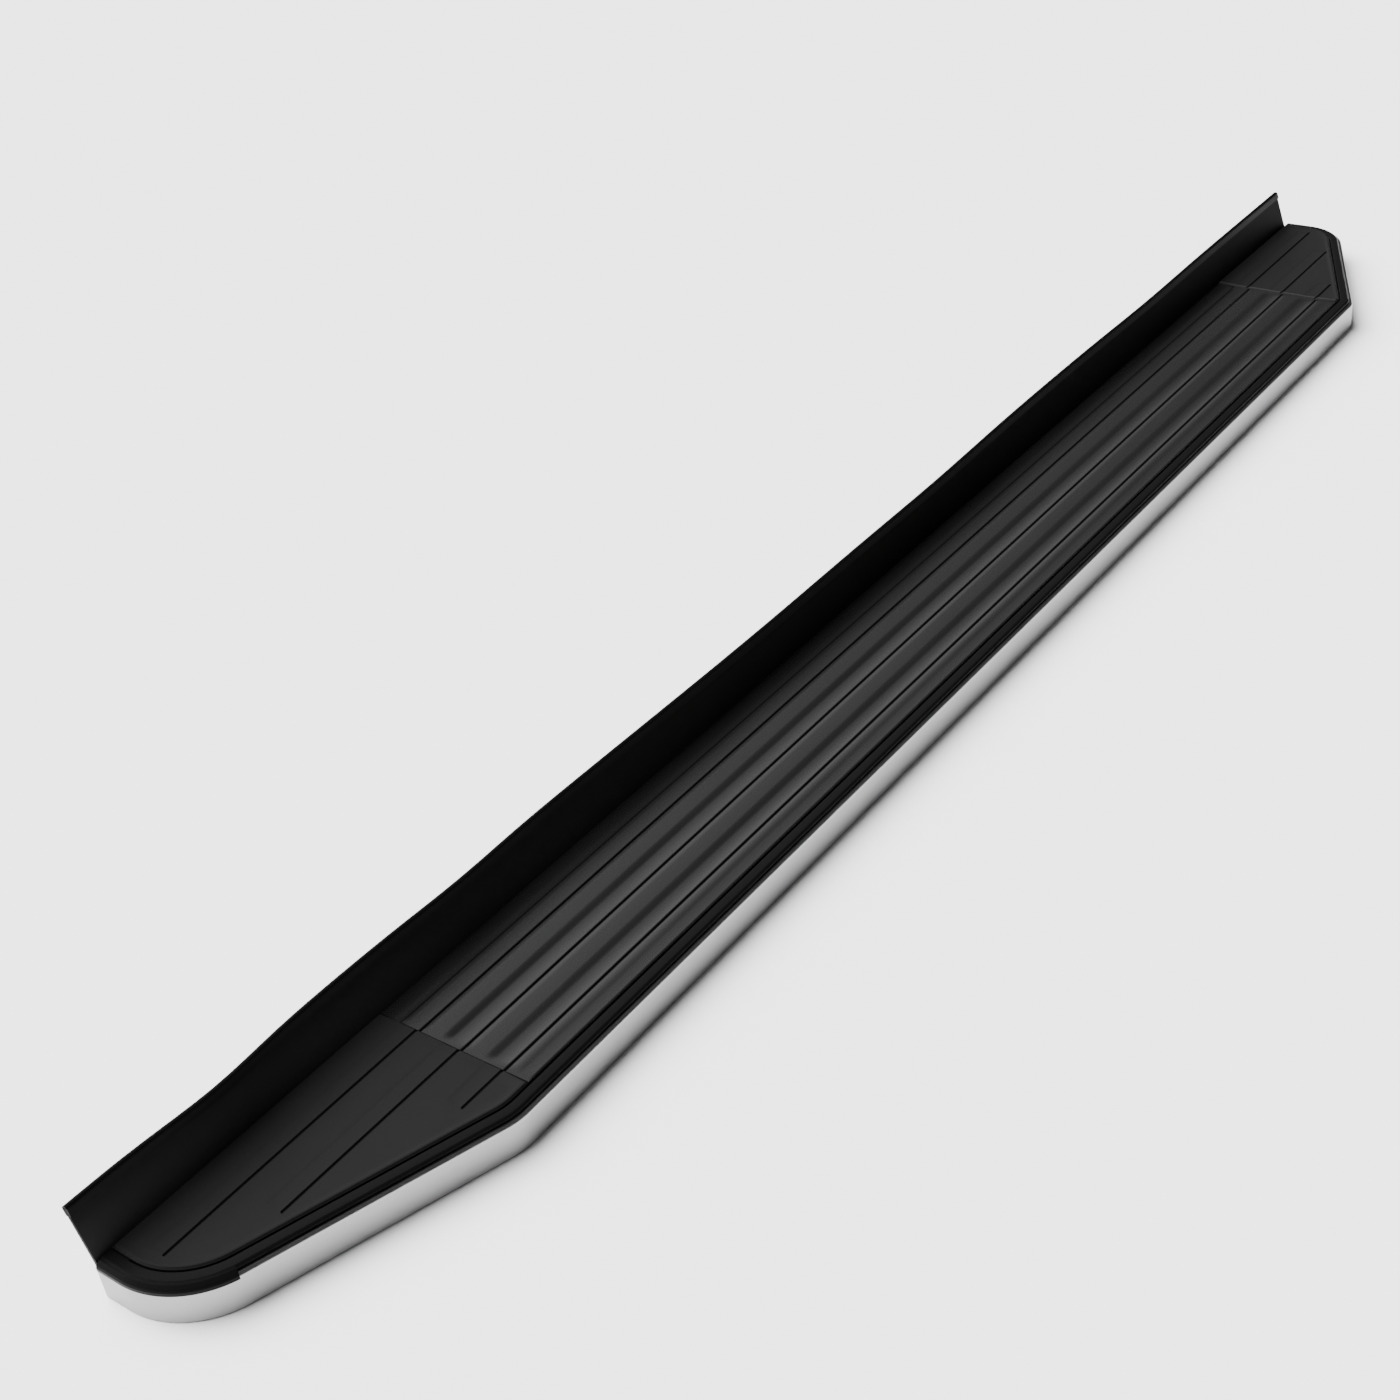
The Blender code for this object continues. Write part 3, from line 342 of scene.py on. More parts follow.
strip_top = TREAD_Z - 0.0047
strip_section = softened([
    (0.0152, 0.0027, 0.0), (0.0073, 0.0027, 0.0012), (0.0054, 0.0, 0.0012), (0.0, 0.0, 0.0014),
    (0.0, strip_top, 0.0030), (0.0085, strip_top, 0.0), (0.0085, strip_top - 0.0012, 0.0),
    (0.0012, strip_top - 0.0012, 0.0018), (0.0012, 0.0012, 0.0004), (0.0048, 0.0012, 0.0008),
    (0.0067, 0.0039, 0.0012), (0.0152, 0.0039, 0.0)], 8)
strip = carried("bright_strip", level_line(edge_line(0.0, 0.0003)), strip_section, steel)
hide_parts("trim_strip")
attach(strip, "board")


# ---- Black surround ----------------------------------------------------------------------------
# One injection moulding in gloss black plastic: a flat-topped rim and a skirt round the outer edge,
# a lip over the strip at the front nose, a floor under the tread and a rail along the vehicle side.
# Screws through the strip's hem hold it.
def sheet_of(name, outlines, low, high):
    """A plate from an outline in plan, between two heights."""
    curve = bpy.data.curves.new(name, "CURVE")
    curve.dimensions = "2D"
    curve.fill_mode = "BOTH"
    curve.extrude = (high - low) / 2
    for outline in outlines:
        spline = curve.splines.new("POLY")
        spline.points.add(len(outline) - 1)
        for point, place in zip(spline.points, outline):
            point.co = (place[0], place[1], 0.0, 1.0)
        spline.use_cyclic_u = True
    plate = bpy.data.objects.new(name, curve)
    plate.location.z = (low + high) / 2
    bpy.context.scene.collection.objects.link(plate)
    bpy.context.view_layer.update()
    return settled(plate, name)


def joined(piece, *others, operation="UNION"):
    """Adds or cuts the other shapes, then removes them."""
    for other in others:
        cut = piece.modifiers.new(other.name, "BOOLEAN")
        cut.operation = operation
        cut.solver = "EXACT"
        cut.object = other
    name = piece.name
    piece.name = name + "_before"
    result = settled(piece, name)
    for other in others:
        bpy.data.objects.remove(other, do_unlink=True)
    return result


def rods(name, places, radius, start, end, axis, sides=24):
    """Round bars between two positions along an axis."""
    turn = Vector((0, 0, 1)).rotation_difference(axis).to_matrix().to_4x4()
    work = bmesh.new()
    for place in places:
        centre = Vector(place) + axis * ((start + end) / 2)
        bmesh.ops.create_cone(
            work, cap_ends=True, segments=sides, radius1=radius, radius2=radius,
            depth=abs(end - start), matrix=Matrix.Translation(centre) @ turn)
    mesh = bpy.data.meshes.new(name)
    work.to_mesh(mesh)
    work.free()
    bar = placed(name, mesh)
    return bar


def middles(*nodes):
    """The middles of CAD nodes, from their boxes."""
    return [(Vector(low) + Vector(high)) / 2 for low, high in map(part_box, nodes)]


def on_plan(places):
    """Places brought down to height zero."""
    return [(place.x, place.y, 0.0) for place in places]


def on_side(places):
    """Places brought to the middle plane that runs along the board."""
    return [(place.x, 0.0, place.z) for place in places]


gloss, gloss_shader, gloss_place = finish(
    "gloss_black_plastic", (0.0030, 0.0030, 0.0032), 0.26, specular=0.06)
dulling = grain(gloss_place, 26.0, 5.0, (1.0, 3.0, 3.0))
hairlines = grain(gloss_place, 260.0, 2.0, (0.08, 1.0, 1.0))
(0.22 + dulling * 0.10 + hairlines * 0.05).into(gloss_shader.inputs["Roughness"])
relief(grain(gloss_place, 210.0, 2.0) + hairlines * 0.3, gloss_shader, 0.05, 0.0003)

skirt_low = 0.0015
under_rim = TREAD_Z - 0.0077
rim_section = softened([
    (0.0045, skirt_low, 0.0005), (0.0015, skirt_low, 0.0005), (0.0015, strip_top - 0.0030, 0.0),
    (0.0030, strip_top - 0.0015, 0.0), (0.0088, strip_top - 0.0015, 0.0), (0.0088, strip_top + 0.0003, 0.0),
    (0.0040, strip_top + 0.0003, 0.0003), (0.0041, TREAD_Z - 0.0024, 0.0010),
    (0.0058, TREAD_Z - 0.0012, 0.0012), (0.0128, TREAD_Z - 0.0010, 0.0006), (0.0128, under_rim, 0.0),
    (0.0045, under_rim, 0.0)], 8)
RAIL_GAP = 0.0006
rim_line = level_line(edge_line(0.0, RAIL_GAP))
rim = carried("black_surround", rim_line, rim_section, gloss)
lip_section = softened([
    (0.0060, strip_top + 0.0010, 0.0), (0.0060, TREAD_Z - 0.0013, 0.0), (0.0034, TREAD_Z - 0.0018, 0.0012),
    (0.0006, strip_top + 0.0010, 0.0012), (-0.0003, strip_top - 0.0008, 0.0008),
    (-0.0003, strip_top - 0.0034, 0.0), (0.0002, strip_top - 0.0034, 0.0),
    (0.0008, strip_top - 0.0010, 0.0), (0.0030, strip_top - 0.0002, 0.0)], 6)
lip = carried("nose_lip", rim_line[:BEND_STEPS + 1], lip_section, gloss)
RIM_UNDERCUT = 0.0108
floor_top = TREAD_Z - 0.0055
floor_low = TREAD_Z - 0.0074
recess_floor = sheet_of("recess_floor", [edge_line(RIM_UNDERCUT, 0.0144)], floor_low, floor_top)
SHELF_WIDTH = 0.0164
RAIL_LOW = 0.0142
rail_section = softened([
    (-SHELF_WIDTH, 0.0299, 0.0), (0.0, 0.0299, 0.0004), (0.0, RAIL_LOW, 0.0006),
    (-0.0040, RAIL_LOW, 0.0006), (-0.0040, 0.02515, 0.0008), (-SHELF_WIDTH, 0.02515, 0.0)])
rail_ends = [(x, INNER_Y, 0.0) for x in (-HALF_LENGTH + RIM_UNDERCUT, HALF_LENGTH - RIM_UNDERCUT)]
rail = carried("rail", rail_ends, rail_section, gloss)
trim_screws = middles(*[f"trim_screw_{number}" for number in range(1, 6)])
bar_screws = middles(*[f"retainer_screw_{number}" for number in range(1, 7)])
cap_screws = middles("front_cap_screw_1", "front_cap_screw_2", "rear_cap_screw_1", "rear_cap_screw_2")
UPWARDS = Vector((0, 0, 1))
INWARDS = Vector((0, 1, 0))
SCREW_HOLE = 0.0018
BOSS_RADIUS = 0.0036
boss_low = 0.0042
bosses = rods("bosses", on_plan(trim_screws), BOSS_RADIUS, boss_low, under_rim + 0.001, UPWARDS)
surround = joined(rim, recess_floor, rail, bosses, lip)
surround = joined(
    surround,
    rods("boss_holes", on_plan(trim_screws), SCREW_HOLE, 0.0, boss_low + 0.006, UPWARDS),
    rods("rail_holes", on_side(bar_screws), SCREW_HOLE, INNER_Y - 0.006, INNER_Y + 0.002, INWARDS),
    rods("floor_holes", on_plan(cap_screws), SCREW_HOLE, floor_low - 0.002, floor_top + 0.002, UPWARDS),
    operation="DIFFERENCE")
surround.data.materials.clear()
surround.data.materials.append(gloss)
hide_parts("surround_moulding")
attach(surround, "board")


# ---- Tread pad ---------------------------------------------------------------------------------
# Moulded rubber-faced pad: four lands with shallow dishes that fade out at the seams, a narrow groove
# between each two, and a ledge that laps over the rail. It is bonded into the surround's recess.
FRONT_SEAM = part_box("front_end_cap")[1][0]
REAR_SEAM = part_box("rear_end_cap")[0][0]
RIM_WIDTH = 0.0142
PAD_PITCH = 0.0383
PAD_GROOVES = [OUTER_Y + 0.0736 + PAD_PITCH * order for order in (-1, 0, 1)]
PAD_OUTER = OUTER_Y + RIM_WIDTH
PAD_INNER = INNER_Y - RAIL_GAP
PAD_LOW = -0.0052
LEDGE_LINE = INNER_Y - 0.0203
LEDGE_TOP = -0.0006
LEDGE_FOOT = -0.0019
GROOVE_REACH = 0.0014

rubber, rubber_shader, rubber_place = finish(
    "pebbled_tread_rubber", (0.0040, 0.0040, 0.0042), 0.36, specular=0.26)
pebbles = rubber_place.node(
    "ShaderNodeTexVoronoi", {"feature": "SMOOTH_F1"}, {"Vector": rubber_place, "Scale": 900.0})
specks = grain(rubber_place, 1500.0, 3.0)
scuffs = grain(rubber_place, 22.0, 5.0, (0.35, 1.0, 1.0), 0.65)
height_of = rubber_place.node("ShaderNodeSeparateXYZ", {}, {"Vector": rubber_place}, output="Z")
# The colour is lighter on the land tops within a millimetre of the tread line: partly wear on the crests,
# partly a painted highlight on the ridges.
CREST_LIGHT_DEPTH = 0.0010
crest_wear_and_painted_light = ((height_of - (TREAD_Z - CREST_LIGHT_DEPTH)) / CREST_LIGHT_DEPTH).clamped()
tinted(crest_wear_and_painted_light * 0.45 + scuffs * 0.55, (0.0040, 0.0040, 0.0041), (0.0074, 0.0074, 0.0076)).into(
    rubber_shader.inputs["Base Color"])
(0.19 + scuffs * 0.10 + specks * 0.06).into(rubber_shader.inputs["Roughness"])
relief(pebbles * 0.8 + specks * 0.8, rubber_shader, 0.22, 0.00020)


def land(inner_side, outer_side, deepest, dish, power):
    """From one groove outwards: a rolled edge, a flat, a soft fall, then a dish that climbs to a lip."""
    rolled, rolled_depth = 0.005, 0.00045
    roll_steps, fall_steps, climb_steps = 8, 14, 16
    line = []
    for step in range(roll_steps):
        share = step / roll_steps
        line.append((inner_side - rolled * share, -rolled_depth * (1 - share) ** 2))
    deep_at = outer_side + dish
    fall_start = min(deep_at + 0.0080, inner_side - rolled - 0.0002)
    for step in range(fall_steps + 1):
        share = step / fall_steps
        drop = deepest * (1 - math.cos(math.pi * share)) / 2
        line.append((fall_start + (deep_at - fall_start) * share, -drop))
    for step in range(1, climb_steps + 1):
        share = step / climb_steps
        line.append((deep_at + (outer_side - deep_at) * share, -deepest * (1 - share ** power)))
    return line


def groove(middle):
    """A narrow groove with eased edges, from its inner side outwards."""
    sides = ((1.10, 0.12), (0.90, 0.45), (0.80, 1.30), (0.55, 1.58))
    fall = [(middle + across / 1000, -depth / 1000) for across, depth in sides]
    outer_side = [(2 * middle - across, min(depth, -0.0005)) for across, depth in reversed(fall)]
    return fall + outer_side


RAIL_SIDE = INNER_Y - SHELF_WIDTH - 0.0003
LAP_LOW = -0.0025
pad_section = [
    (PAD_OUTER, PAD_LOW), (RAIL_SIDE, PAD_LOW), (RAIL_SIDE, LAP_LOW), (PAD_INNER, LAP_LOW),
    (PAD_INNER, LEDGE_TOP - 0.0003), (PAD_INNER - 0.0004, LEDGE_TOP), (LEDGE_LINE + 0.0012, LEDGE_TOP),
    (LEDGE_LINE + 0.0006, LEDGE_TOP - 0.0003), (LEDGE_LINE + 0.0002, LEDGE_FOOT),
    (LEDGE_LINE - 0.0003, LEDGE_FOOT)]
limits = [LEDGE_LINE - 0.0007]
for middle in reversed(PAD_GROOVES):
    limits += [middle + GROOVE_REACH, middle - GROOVE_REACH]
limits.append(PAD_OUTER + GROOVE_REACH)
# Each land's depth, how far its deepest line lies from its outer groove, and the power of its climb.
land_shapes = ((0.0001, 0.0080, 2), (0.0012, 0.0125, 2), (0.0011, 0.0120, 2), (0.0002, 0.0080, 2))
for order, (deepest, dish, power) in enumerate(land_shapes):
    pad_section += land(limits[2 * order], limits[2 * order + 1], deepest, dish, power)
    if order < len(PAD_GROOVES):
        pad_section += groove(PAD_GROOVES[-1 - order])
pad_section += [(PAD_OUTER + 0.0007, -0.0002), (PAD_OUTER + 0.0003, -0.0006), (PAD_OUTER, -0.0014)]

pad_tree = bpy.data.node_groups.new("tread_with_fading_valleys", "GeometryNodeTree")
pad = node_inputs(
    pad_tree, Section="Object", Finish="Material", Start="Float", End="Float", Fade="Float",
    Tread="Float", Pitch="Float", Middle="Float", Ledge="Float")
pad_up = pad["Geometry"].node("GeometryNodeSetCurveNormal", {"mode": "Z_UP"}, {"Curve": pad["Geometry"]})
pad_outline = pad_up.node("GeometryNodeObjectInfo", {}, {"Object": pad["Section"]}, output="Geometry")
pad_body = pad_up.node(
    "GeometryNodeCurveToMesh", {}, {"Curve": pad_up, "Profile Curve": pad_outline, "Fill Caps": True})
spot = pad_up.node("GeometryNodeInputPosition")
along = spot.node("ShaderNodeSeparateXYZ", {}, {"Vector": spot}, output="X")
sideways = spot.node("ShaderNodeSeparateXYZ", {}, {"Vector": spot}, output="Y")
rise = spot.node("ShaderNodeSeparateXYZ", {}, {"Vector": spot}, output="Z")
to_seam = spot.maths("MINIMUM", along - pad["Start"], pad["End"] - along)
fade = spot.node(
    "ShaderNodeMapRange", {"interpolation_type": "SMOOTHSTEP"},
    {"Value": to_seam, "From Min": 0.0015, "From Max": pad["Fade"], "To Min": 0.0, "To Max": 1.0})
off_groove = spot.maths("ABSOLUTE", spot.node(
    "ShaderNodeMath", {"operation": "WRAP"},
    {0: sideways - pad["Middle"], 1: pad["Pitch"] * 0.5, 2: pad["Pitch"] * -0.5}))
is_land = spot.maths("GREATER_THAN", off_groove, 0.00139) * spot.maths("LESS_THAN", sideways, pad["Ledge"])
is_top = spot.maths("GREATER_THAN", rise, pad["Tread"] - 0.0020)
lift = (pad["Tread"] - rise) * (1.0 - fade) * is_land * is_top
moved = spot.node("ShaderNodeCombineXYZ", {}, {"Z": lift})
tree_ends(
    pad_body.node("GeometryNodeSetPosition", {}, {"Geometry": pad_body, "Offset": moved}), pad["Finish"])

# Stations crowd towards the seams, where the dishes fade out.
pad_start = FRONT_SEAM + 0.0001
pad_end = REAR_SEAM - 0.0004
stations = [0.0, 0.0015, 0.003, 0.005, 0.007, 0.009, 0.0115, 0.014, 0.017, 0.020, 0.024, 0.030]
steps_along = 24
middle_run = pad_end - pad_start - 2 * stations[-1]
xs = [pad_start + station for station in stations]
xs += [pad_start + stations[-1] + middle_run * step / steps_along for step in range(1, steps_along)]
xs += [pad_end - station for station in reversed(stations)]
pad_line = poly_curve("pad_line", [(x, 0.0, TREAD_Z) for x in xs], closed=False)
pad_profile = poly_curve("pad_section", [(-y, -z) for y, z in pad_section], closed=True)
pad_sizes = {
    "Section": pad_profile, "Finish": rubber, "Start": pad_start, "End": pad_end, "Fade": 0.010,
    "Tread": TREAD_Z, "Pitch": PAD_PITCH, "Middle": PAD_GROOVES[1], "Ledge": LEDGE_LINE - 0.0006}
tread = settled(grown(pad_line, pad_tree, pad_sizes), "tread_pad_rubber", 50.0)
bpy.data.objects.remove(pad_profile, do_unlink=True)
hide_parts("tread_pad")
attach(tread, "board")


# ---- End caps ----------------------------------------------------------------------------------
# Moulded plastic plates in line with the pad. Each has a rounded bead round its edge, three grooves
# that run on from the pad, and a faint sunk band beside each groove. Two screws hold each from below,
# and a pale line along the rear cap's raised edge at the seam is a painted highlight.
cap_skin, cap_shader, cap_place = finish("grained_cap_plastic", (0.0048, 0.0048, 0.0050), 0.55, specular=0.10)
cap_grain = grain(cap_place, 1700.0, 3.0)
cap_cloud = grain(cap_place, 16.0, 5.0, (0.5, 1.0, 1.0), 0.65)
# Painted highlight: a pale band just behind the rear seam lights the cap's raised edge there, and the cloud
# adds random tone.
SEAM_HIGHLIGHT_REACH = 0.0026
along_cap = cap_place.node("ShaderNodeSeparateXYZ", {}, {"Vector": cap_place}, output="X")
off_seam = cap_place.maths("ABSOLUTE", along_cap - (REAR_SEAM + SEAM_HIGHLIGHT_REACH))
seam_painted_highlight = (1.0 - off_seam / SEAM_HIGHLIGHT_REACH).clamped()
tone_and_painted_highlight = cap_cloud * 0.12 + seam_painted_highlight * (0.35 + cap_cloud * 0.35)
tinted(tone_and_painted_highlight, (0.0054, 0.0054, 0.0056), (0.0300, 0.0300, 0.0305)).into(cap_shader.inputs["Base Color"])
(0.50 + cap_cloud * 0.14 + cap_grain * 0.08).into(cap_shader.inputs["Roughness"])
relief(cap_grain + cap_cloud * 0.3, cap_shader, 0.30, 0.0002)


CAP_PITCH = 0.0390
CAP_GROOVES = [OUTER_Y + 0.0758 + CAP_PITCH * order for order in (-1, 0, 1)]
SEAM_GAP = 0.0001


def cap_outline(at_front, inset, seam_inset, inner_inset):
    """Plan of an end cap with its edges moved in."""
    line = edge_line(inset + RIM_WIDTH, inner_inset + RAIL_GAP)
    half = len(line) // 2
    ends = (OUTER_Y + RIM_WIDTH + inset, INNER_Y - RAIL_GAP - inner_inset)
    if at_front:
        seam = FRONT_SEAM - seam_inset
        return line[:half] + [Vector((seam, ends[0])), Vector((seam, ends[1]))]
    seam = REAR_SEAM + seam_inset
    return line[half:] + [Vector((seam, ends[1])), Vector((seam, ends[0]))]


def gap_to(point, line, closed=True):
    """Distance from a point to a line of points."""
    best = 1.0
    pairs = zip(line, line[1:] + (line[:1] if closed else []))
    for start, end in pairs:
        run = end - start
        length = run.length_squared
        share = 0.0 if length == 0 else max(0.0, min(1.0, (point - start).dot(run) / length))
        best = min(best, (point - start - run * share).length_squared)
    return math.sqrt(best)


def eased(value, low, high):
    """A smooth climb from 0 to 1 between two values."""
    share = max(0.0, min(1.0, (value - low) / (high - low)))
    return share * share * (3 - 2 * share)


def inside(point, line):
    """Whether a point lies inside a closed line."""
    within = False
    for start, end in zip(line, line[1:] + line[:1]):
        if (start.y > point.y) != (end.y > point.y):
            if point.x < start.x + (point.y - start.y) * (end.x - start.x) / (end.y - start.y):
                within = not within
    return within


def end_cap(name, node, at_front, groove_ends):
    """One cap: its plan is cut into small triangles, whose corners are then raised or sunk."""
    border = cap_outline(at_front, 0.0, SEAM_GAP, 0.0)
    seam = FRONT_SEAM - SEAM_GAP if at_front else REAR_SEAM + SEAM_GAP
    towards = 1.0 if at_front else -1.0
    ring_insets = (0.0, 0.0003, 0.0007, 0.0012, 0.0018, 0.0026, 0.0036, 0.005)
    rings = [cap_outline(at_front, inset, SEAM_GAP + inset, inset) for inset in ring_insets]
    points = []
    edges = []

    def draw(line, closed):
        first = len(points)
        points.extend(line)
        edges.extend((first + i, first + i + 1) for i in range(len(line) - 1))
        if closed:
            edges.append((first + len(line) - 1, first))

    for ring in rings:
        draw(ring, True)
    for end, middle in zip(groove_ends, CAP_GROOVES):
        for reach in (0.0, 0.0006, 0.0009, 0.0014):
            if not reach:
                draw([Vector((seam, middle)), Vector((end, middle))], False)
                continue
            turns = [math.pi * step / 8 for step in range(9)]
            arc = [Vector((end - towards * reach * math.sin(a), middle + reach * math.cos(a))) for a in turns]
            draw([Vector((seam, middle + reach))] + arc + [Vector((seam, middle - reach))], False)
        for reach in (-0.0008, 0.0, 0.0008):
            near, far = middle + 0.0030, middle + 0.0145 + reach
            stop = end - towards * reach
            draw([Vector((stop, near)), Vector((stop, far)), Vector((seam, far))], False)
    xs = [point.x for point in border]
    ys = [point.y for point in border]
    spacing = 0.006
    for column in range(int((max(xs) - min(xs)) / spacing)):
        for row in range(int((max(ys) - min(ys)) / spacing)):
            grid_point = Vector((min(xs) + (column + 0.5) * spacing, min(ys) + (row + 0.5) * spacing))
            if inside(grid_point, rings[-1]) and gap_to(grid_point, rings[-1]) > 0.002:
                points.append(grid_point)
    corners, _, faces, _, _, _ = delaunay_2d_cdt(points, edges, [], 0, 0.000002)

    work = bmesh.new()
    top = []
    for corner in corners:
        edge_gap = gap_to(corner, border[-1:] + border[:-1], False)
        seam_gap = abs(corner.x - seam)
        rise_here = -0.0009 * (1 - eased(edge_gap, 0.0, 0.0013))
        rise_here += 0.0006 * eased(edge_gap, 0.0, 0.0018) * (1 - eased(edge_gap, 0.0026, 0.0052))
        rise_here -= 0.0003 * (1 - eased(seam_gap, 0.0, 0.0006))
        if not at_front:
            rise_here += 0.0012 * eased(seam_gap, 0.0, 0.0018) * (1 - eased(seam_gap, 0.0026, 0.0050))
        for end, middle in zip(groove_ends, CAP_GROOVES):
            slot_gap = gap_to(corner, [Vector((seam + towards * 0.01, middle)), Vector((end, middle))], False)
            rise_here -= 0.0015 * (1 - eased(slot_gap, 0.0006, 0.0014))
            beyond = (corner.x - end) * towards
            beside = corner.y - middle
            side_share = eased(beside, 0.0009, 0.0026) * (1 - eased(beside, 0.0137, 0.0153))
            rise_here -= 0.00022 * side_share * eased(beyond, -0.0008, 0.0008)
        top.append(work.verts.new((corner.x, corner.y, TREAD_Z + rise_here)))
    for face in faces:
        middle_spot = (corners[face[0]] + corners[face[1]] + corners[face[2]]) / 3
        if inside(middle_spot, border):
            work.faces.new([top[index] for index in face])
    for vert in [v for v in work.verts if not v.link_faces]:
        work.verts.remove(vert)
    rim_edges = [edge for edge in work.edges if edge.is_boundary]
    walls = bmesh.ops.extrude_edge_only(work, edges=rim_edges)
    low_verts = [item for item in walls["geom"] if isinstance(item, bmesh.types.BMVert)]
    for vert in low_verts:
        vert.co.z = TREAD_Z - 0.0025
    low_edges = [edge for edge in work.edges if edge.is_boundary]
    bmesh.ops.triangle_fill(work, edges=low_edges, use_beauty=True)
    mesh = bpy.data.meshes.new(name)
    work.to_mesh(mesh)
    work.free()
    plate = placed(name + "_plate", mesh)
    block_plan = cap_outline(at_front, 0.0012, 0.0015, SHELF_WIDTH)
    block = sheet_of(name + "_block", [block_plan], TREAD_Z + PAD_LOW, TREAD_Z - 0.0024)
    cap = joined(plate, block)
    own_screws = [place for place in cap_screws if (place.x < 0) == at_front]
    holes = rods(
        name + "_holes", on_plan(own_screws), SCREW_HOLE, TREAD_Z - 0.007, TREAD_Z - 0.0019, UPWARDS)
    cap = joined(cap, holes, operation="DIFFERENCE")
    cap.name = name
    cap.data.materials.clear()
    cap.data.materials.append(cap_skin)
    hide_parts(node)
    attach(cap, "board")


# The grooves stop this far from the tips, from the outermost groove inwards.
FRONT_STOPS = (0.216, 0.090, 0.027)
REAR_STOPS = (0.158, 0.074, 0.028)
end_cap("front_cap", "front_end_cap", True, [stop - HALF_LENGTH for stop in FRONT_STOPS])
end_cap("rear_cap", "rear_end_cap", False, [HALF_LENGTH - stop for stop in REAR_STOPS])


# ---- Splash flap -------------------------------------------------------------------------------
# Flexible rubber strip that seals the gap to the body. Its root is clamped flat against the rail, and
# above that it leans towards the vehicle and wanders a little, as a long rubber strip does.
FLAP_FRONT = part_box("splash_flap")[0][0]
FLAP_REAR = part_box("splash_flap")[1][0]
FLAP_FACE = INNER_Y + 0.0003
FLAP_THICK = 0.0030
ROOT_DEPTH = 0.0060
FLAP_ROOT = TREAD_Z - ROOT_DEPTH
FLAP_TILT = math.tan(math.radians(17.0))
LIFT_HEIGHT = 0.036

flap_rubber, flap_shader, flap_place = finish(
    "smooth_flap_rubber", (0.0080, 0.0080, 0.0080), 0.6, specular=0.03)
bloom = grain(flap_place, 20.0, 5.0, (0.4, 1.0, 1.0), 0.6)
extruding = grain(flap_place, 1.0, 2.0, (3.0, 900.0, 900.0))
flap_height = flap_place.node("ShaderNodeSeparateXYZ", {}, {"Vector": flap_place}, output="Z")
flap_along = flap_place.node("ShaderNodeSeparateXYZ", {}, {"Vector": flap_place}, output="X")
# Painted light: the colour is lighter towards the flap's foot and towards the front, lifting the shade there.
low_down = ((TREAD_Z + LIFT_HEIGHT - flap_height) / LIFT_HEIGHT).clamped()
painted_fill_light = low_down * ((0.1 - flap_along) / 0.9).clamped()
tinted(bloom * 0.08 + painted_fill_light * 0.9, (0.0058, 0.0058, 0.0058), (0.0340, 0.0340, 0.0340)).into(
    flap_shader.inputs["Base Color"])
(0.52 + bloom * 0.16).into(flap_shader.inputs["Roughness"])
relief(extruding * 0.5 + grain(flap_place, 900.0, 2.0) * 0.5, flap_shader, 0.15, 0.0001)


def flap_top(x):
    """Height of the flap's top edge above the tread."""
    share = (x - FLAP_FRONT) / (FLAP_REAR - FLAP_FRONT)
    return 0.0368 - 0.0013 * share


def wander(x):
    """How far the flap's top edge strays towards the vehicle: it sags over the board in five places."""
    sags = (
        (-0.785, 0.055, 0.0054), (-0.545, 0.060, 0.0026), (-0.160, 0.240, 0.0056),
        (0.120, 0.120, 0.0030), (0.560, 0.100, 0.0020))
    return -sum(depth * math.exp(-((x - middle) / width) ** 2) for middle, width, depth in sags)


def flap_rise(x, share):
    """Position across and height of the flap's face, from its root at 0 to its top at 1."""
    above_root = (flap_top(x) + ROOT_DEPTH) * share
    return above_root * FLAP_TILT + wander(x) * share ** 1.6, FLAP_ROOT + above_root


def lofted(name, rings, material):
    """A closed skin over rings of points, with both ends filled."""
    work = bmesh.new()
    rows = [[work.verts.new(point) for point in ring] for ring in rings]
    for row, following in zip(rows, rows[1:]):
        for index in range(len(row)):
            after = (index + 1) % len(row)
            work.faces.new((row[index], row[after], following[after], following[index]))
    work.faces.new(rows[0])
    work.faces.new(rows[-1])
    bmesh.ops.recalc_face_normals(work, faces=work.faces)
    mesh = bpy.data.meshes.new(name)
    work.to_mesh(mesh)
    work.free()
    mesh.materials.append(material)
    piece = placed(name, mesh)
    return piece


def flap_ring(x):
    """The flap's section at one place along it."""
    shares = [step / 8 for step in range(9)]
    face = [flap_rise(x, share) for share in shares]
    ring = [(x, FLAP_FACE, RAIL_LOW)] + [(x, FLAP_FACE + y, z) for y, z in face]
    ring += [(x, FLAP_FACE + FLAP_THICK + y, z) for y, z in reversed(face)]
    return ring + [(x, FLAP_FACE + FLAP_THICK, RAIL_LOW)]


flap_steps = 120
flap_xs = [FLAP_FRONT + (FLAP_REAR - FLAP_FRONT) * step / flap_steps for step in range(flap_steps + 1)]
flap = joined(
    lofted("rubber_flap", [flap_ring(x) for x in flap_xs], flap_rubber),
    rods("flap_holes", on_side(bar_screws), SCREW_HOLE, FLAP_FACE - 0.002, FLAP_FACE + 0.006, INWARDS),
    operation="DIFFERENCE")
flap.data.materials.clear()
flap.data.materials.append(flap_rubber)
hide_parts("splash_flap")
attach(flap, "board")


# ---- Flap edge seal ----------------------------------------------------------------------------
# Soft extruded bead with a bulb and two lips. It is pushed over the flap's top edge and rests against
# the vehicle's paint.
seal_skin, seal_shader, seal_place = finish("soft_seal_rubber", (0.0012, 0.0012, 0.0012), 0.5, specular=0.1)
(0.44 + grain(seal_place, 40.0, 4.0, (0.2, 1.0, 1.0)) * 0.14).into(seal_shader.inputs["Roughness"])
relief(grain(seal_place, 1.0, 2.0, (4.0, 1500.0, 1500.0)), seal_shader, 0.12, 0.0001)


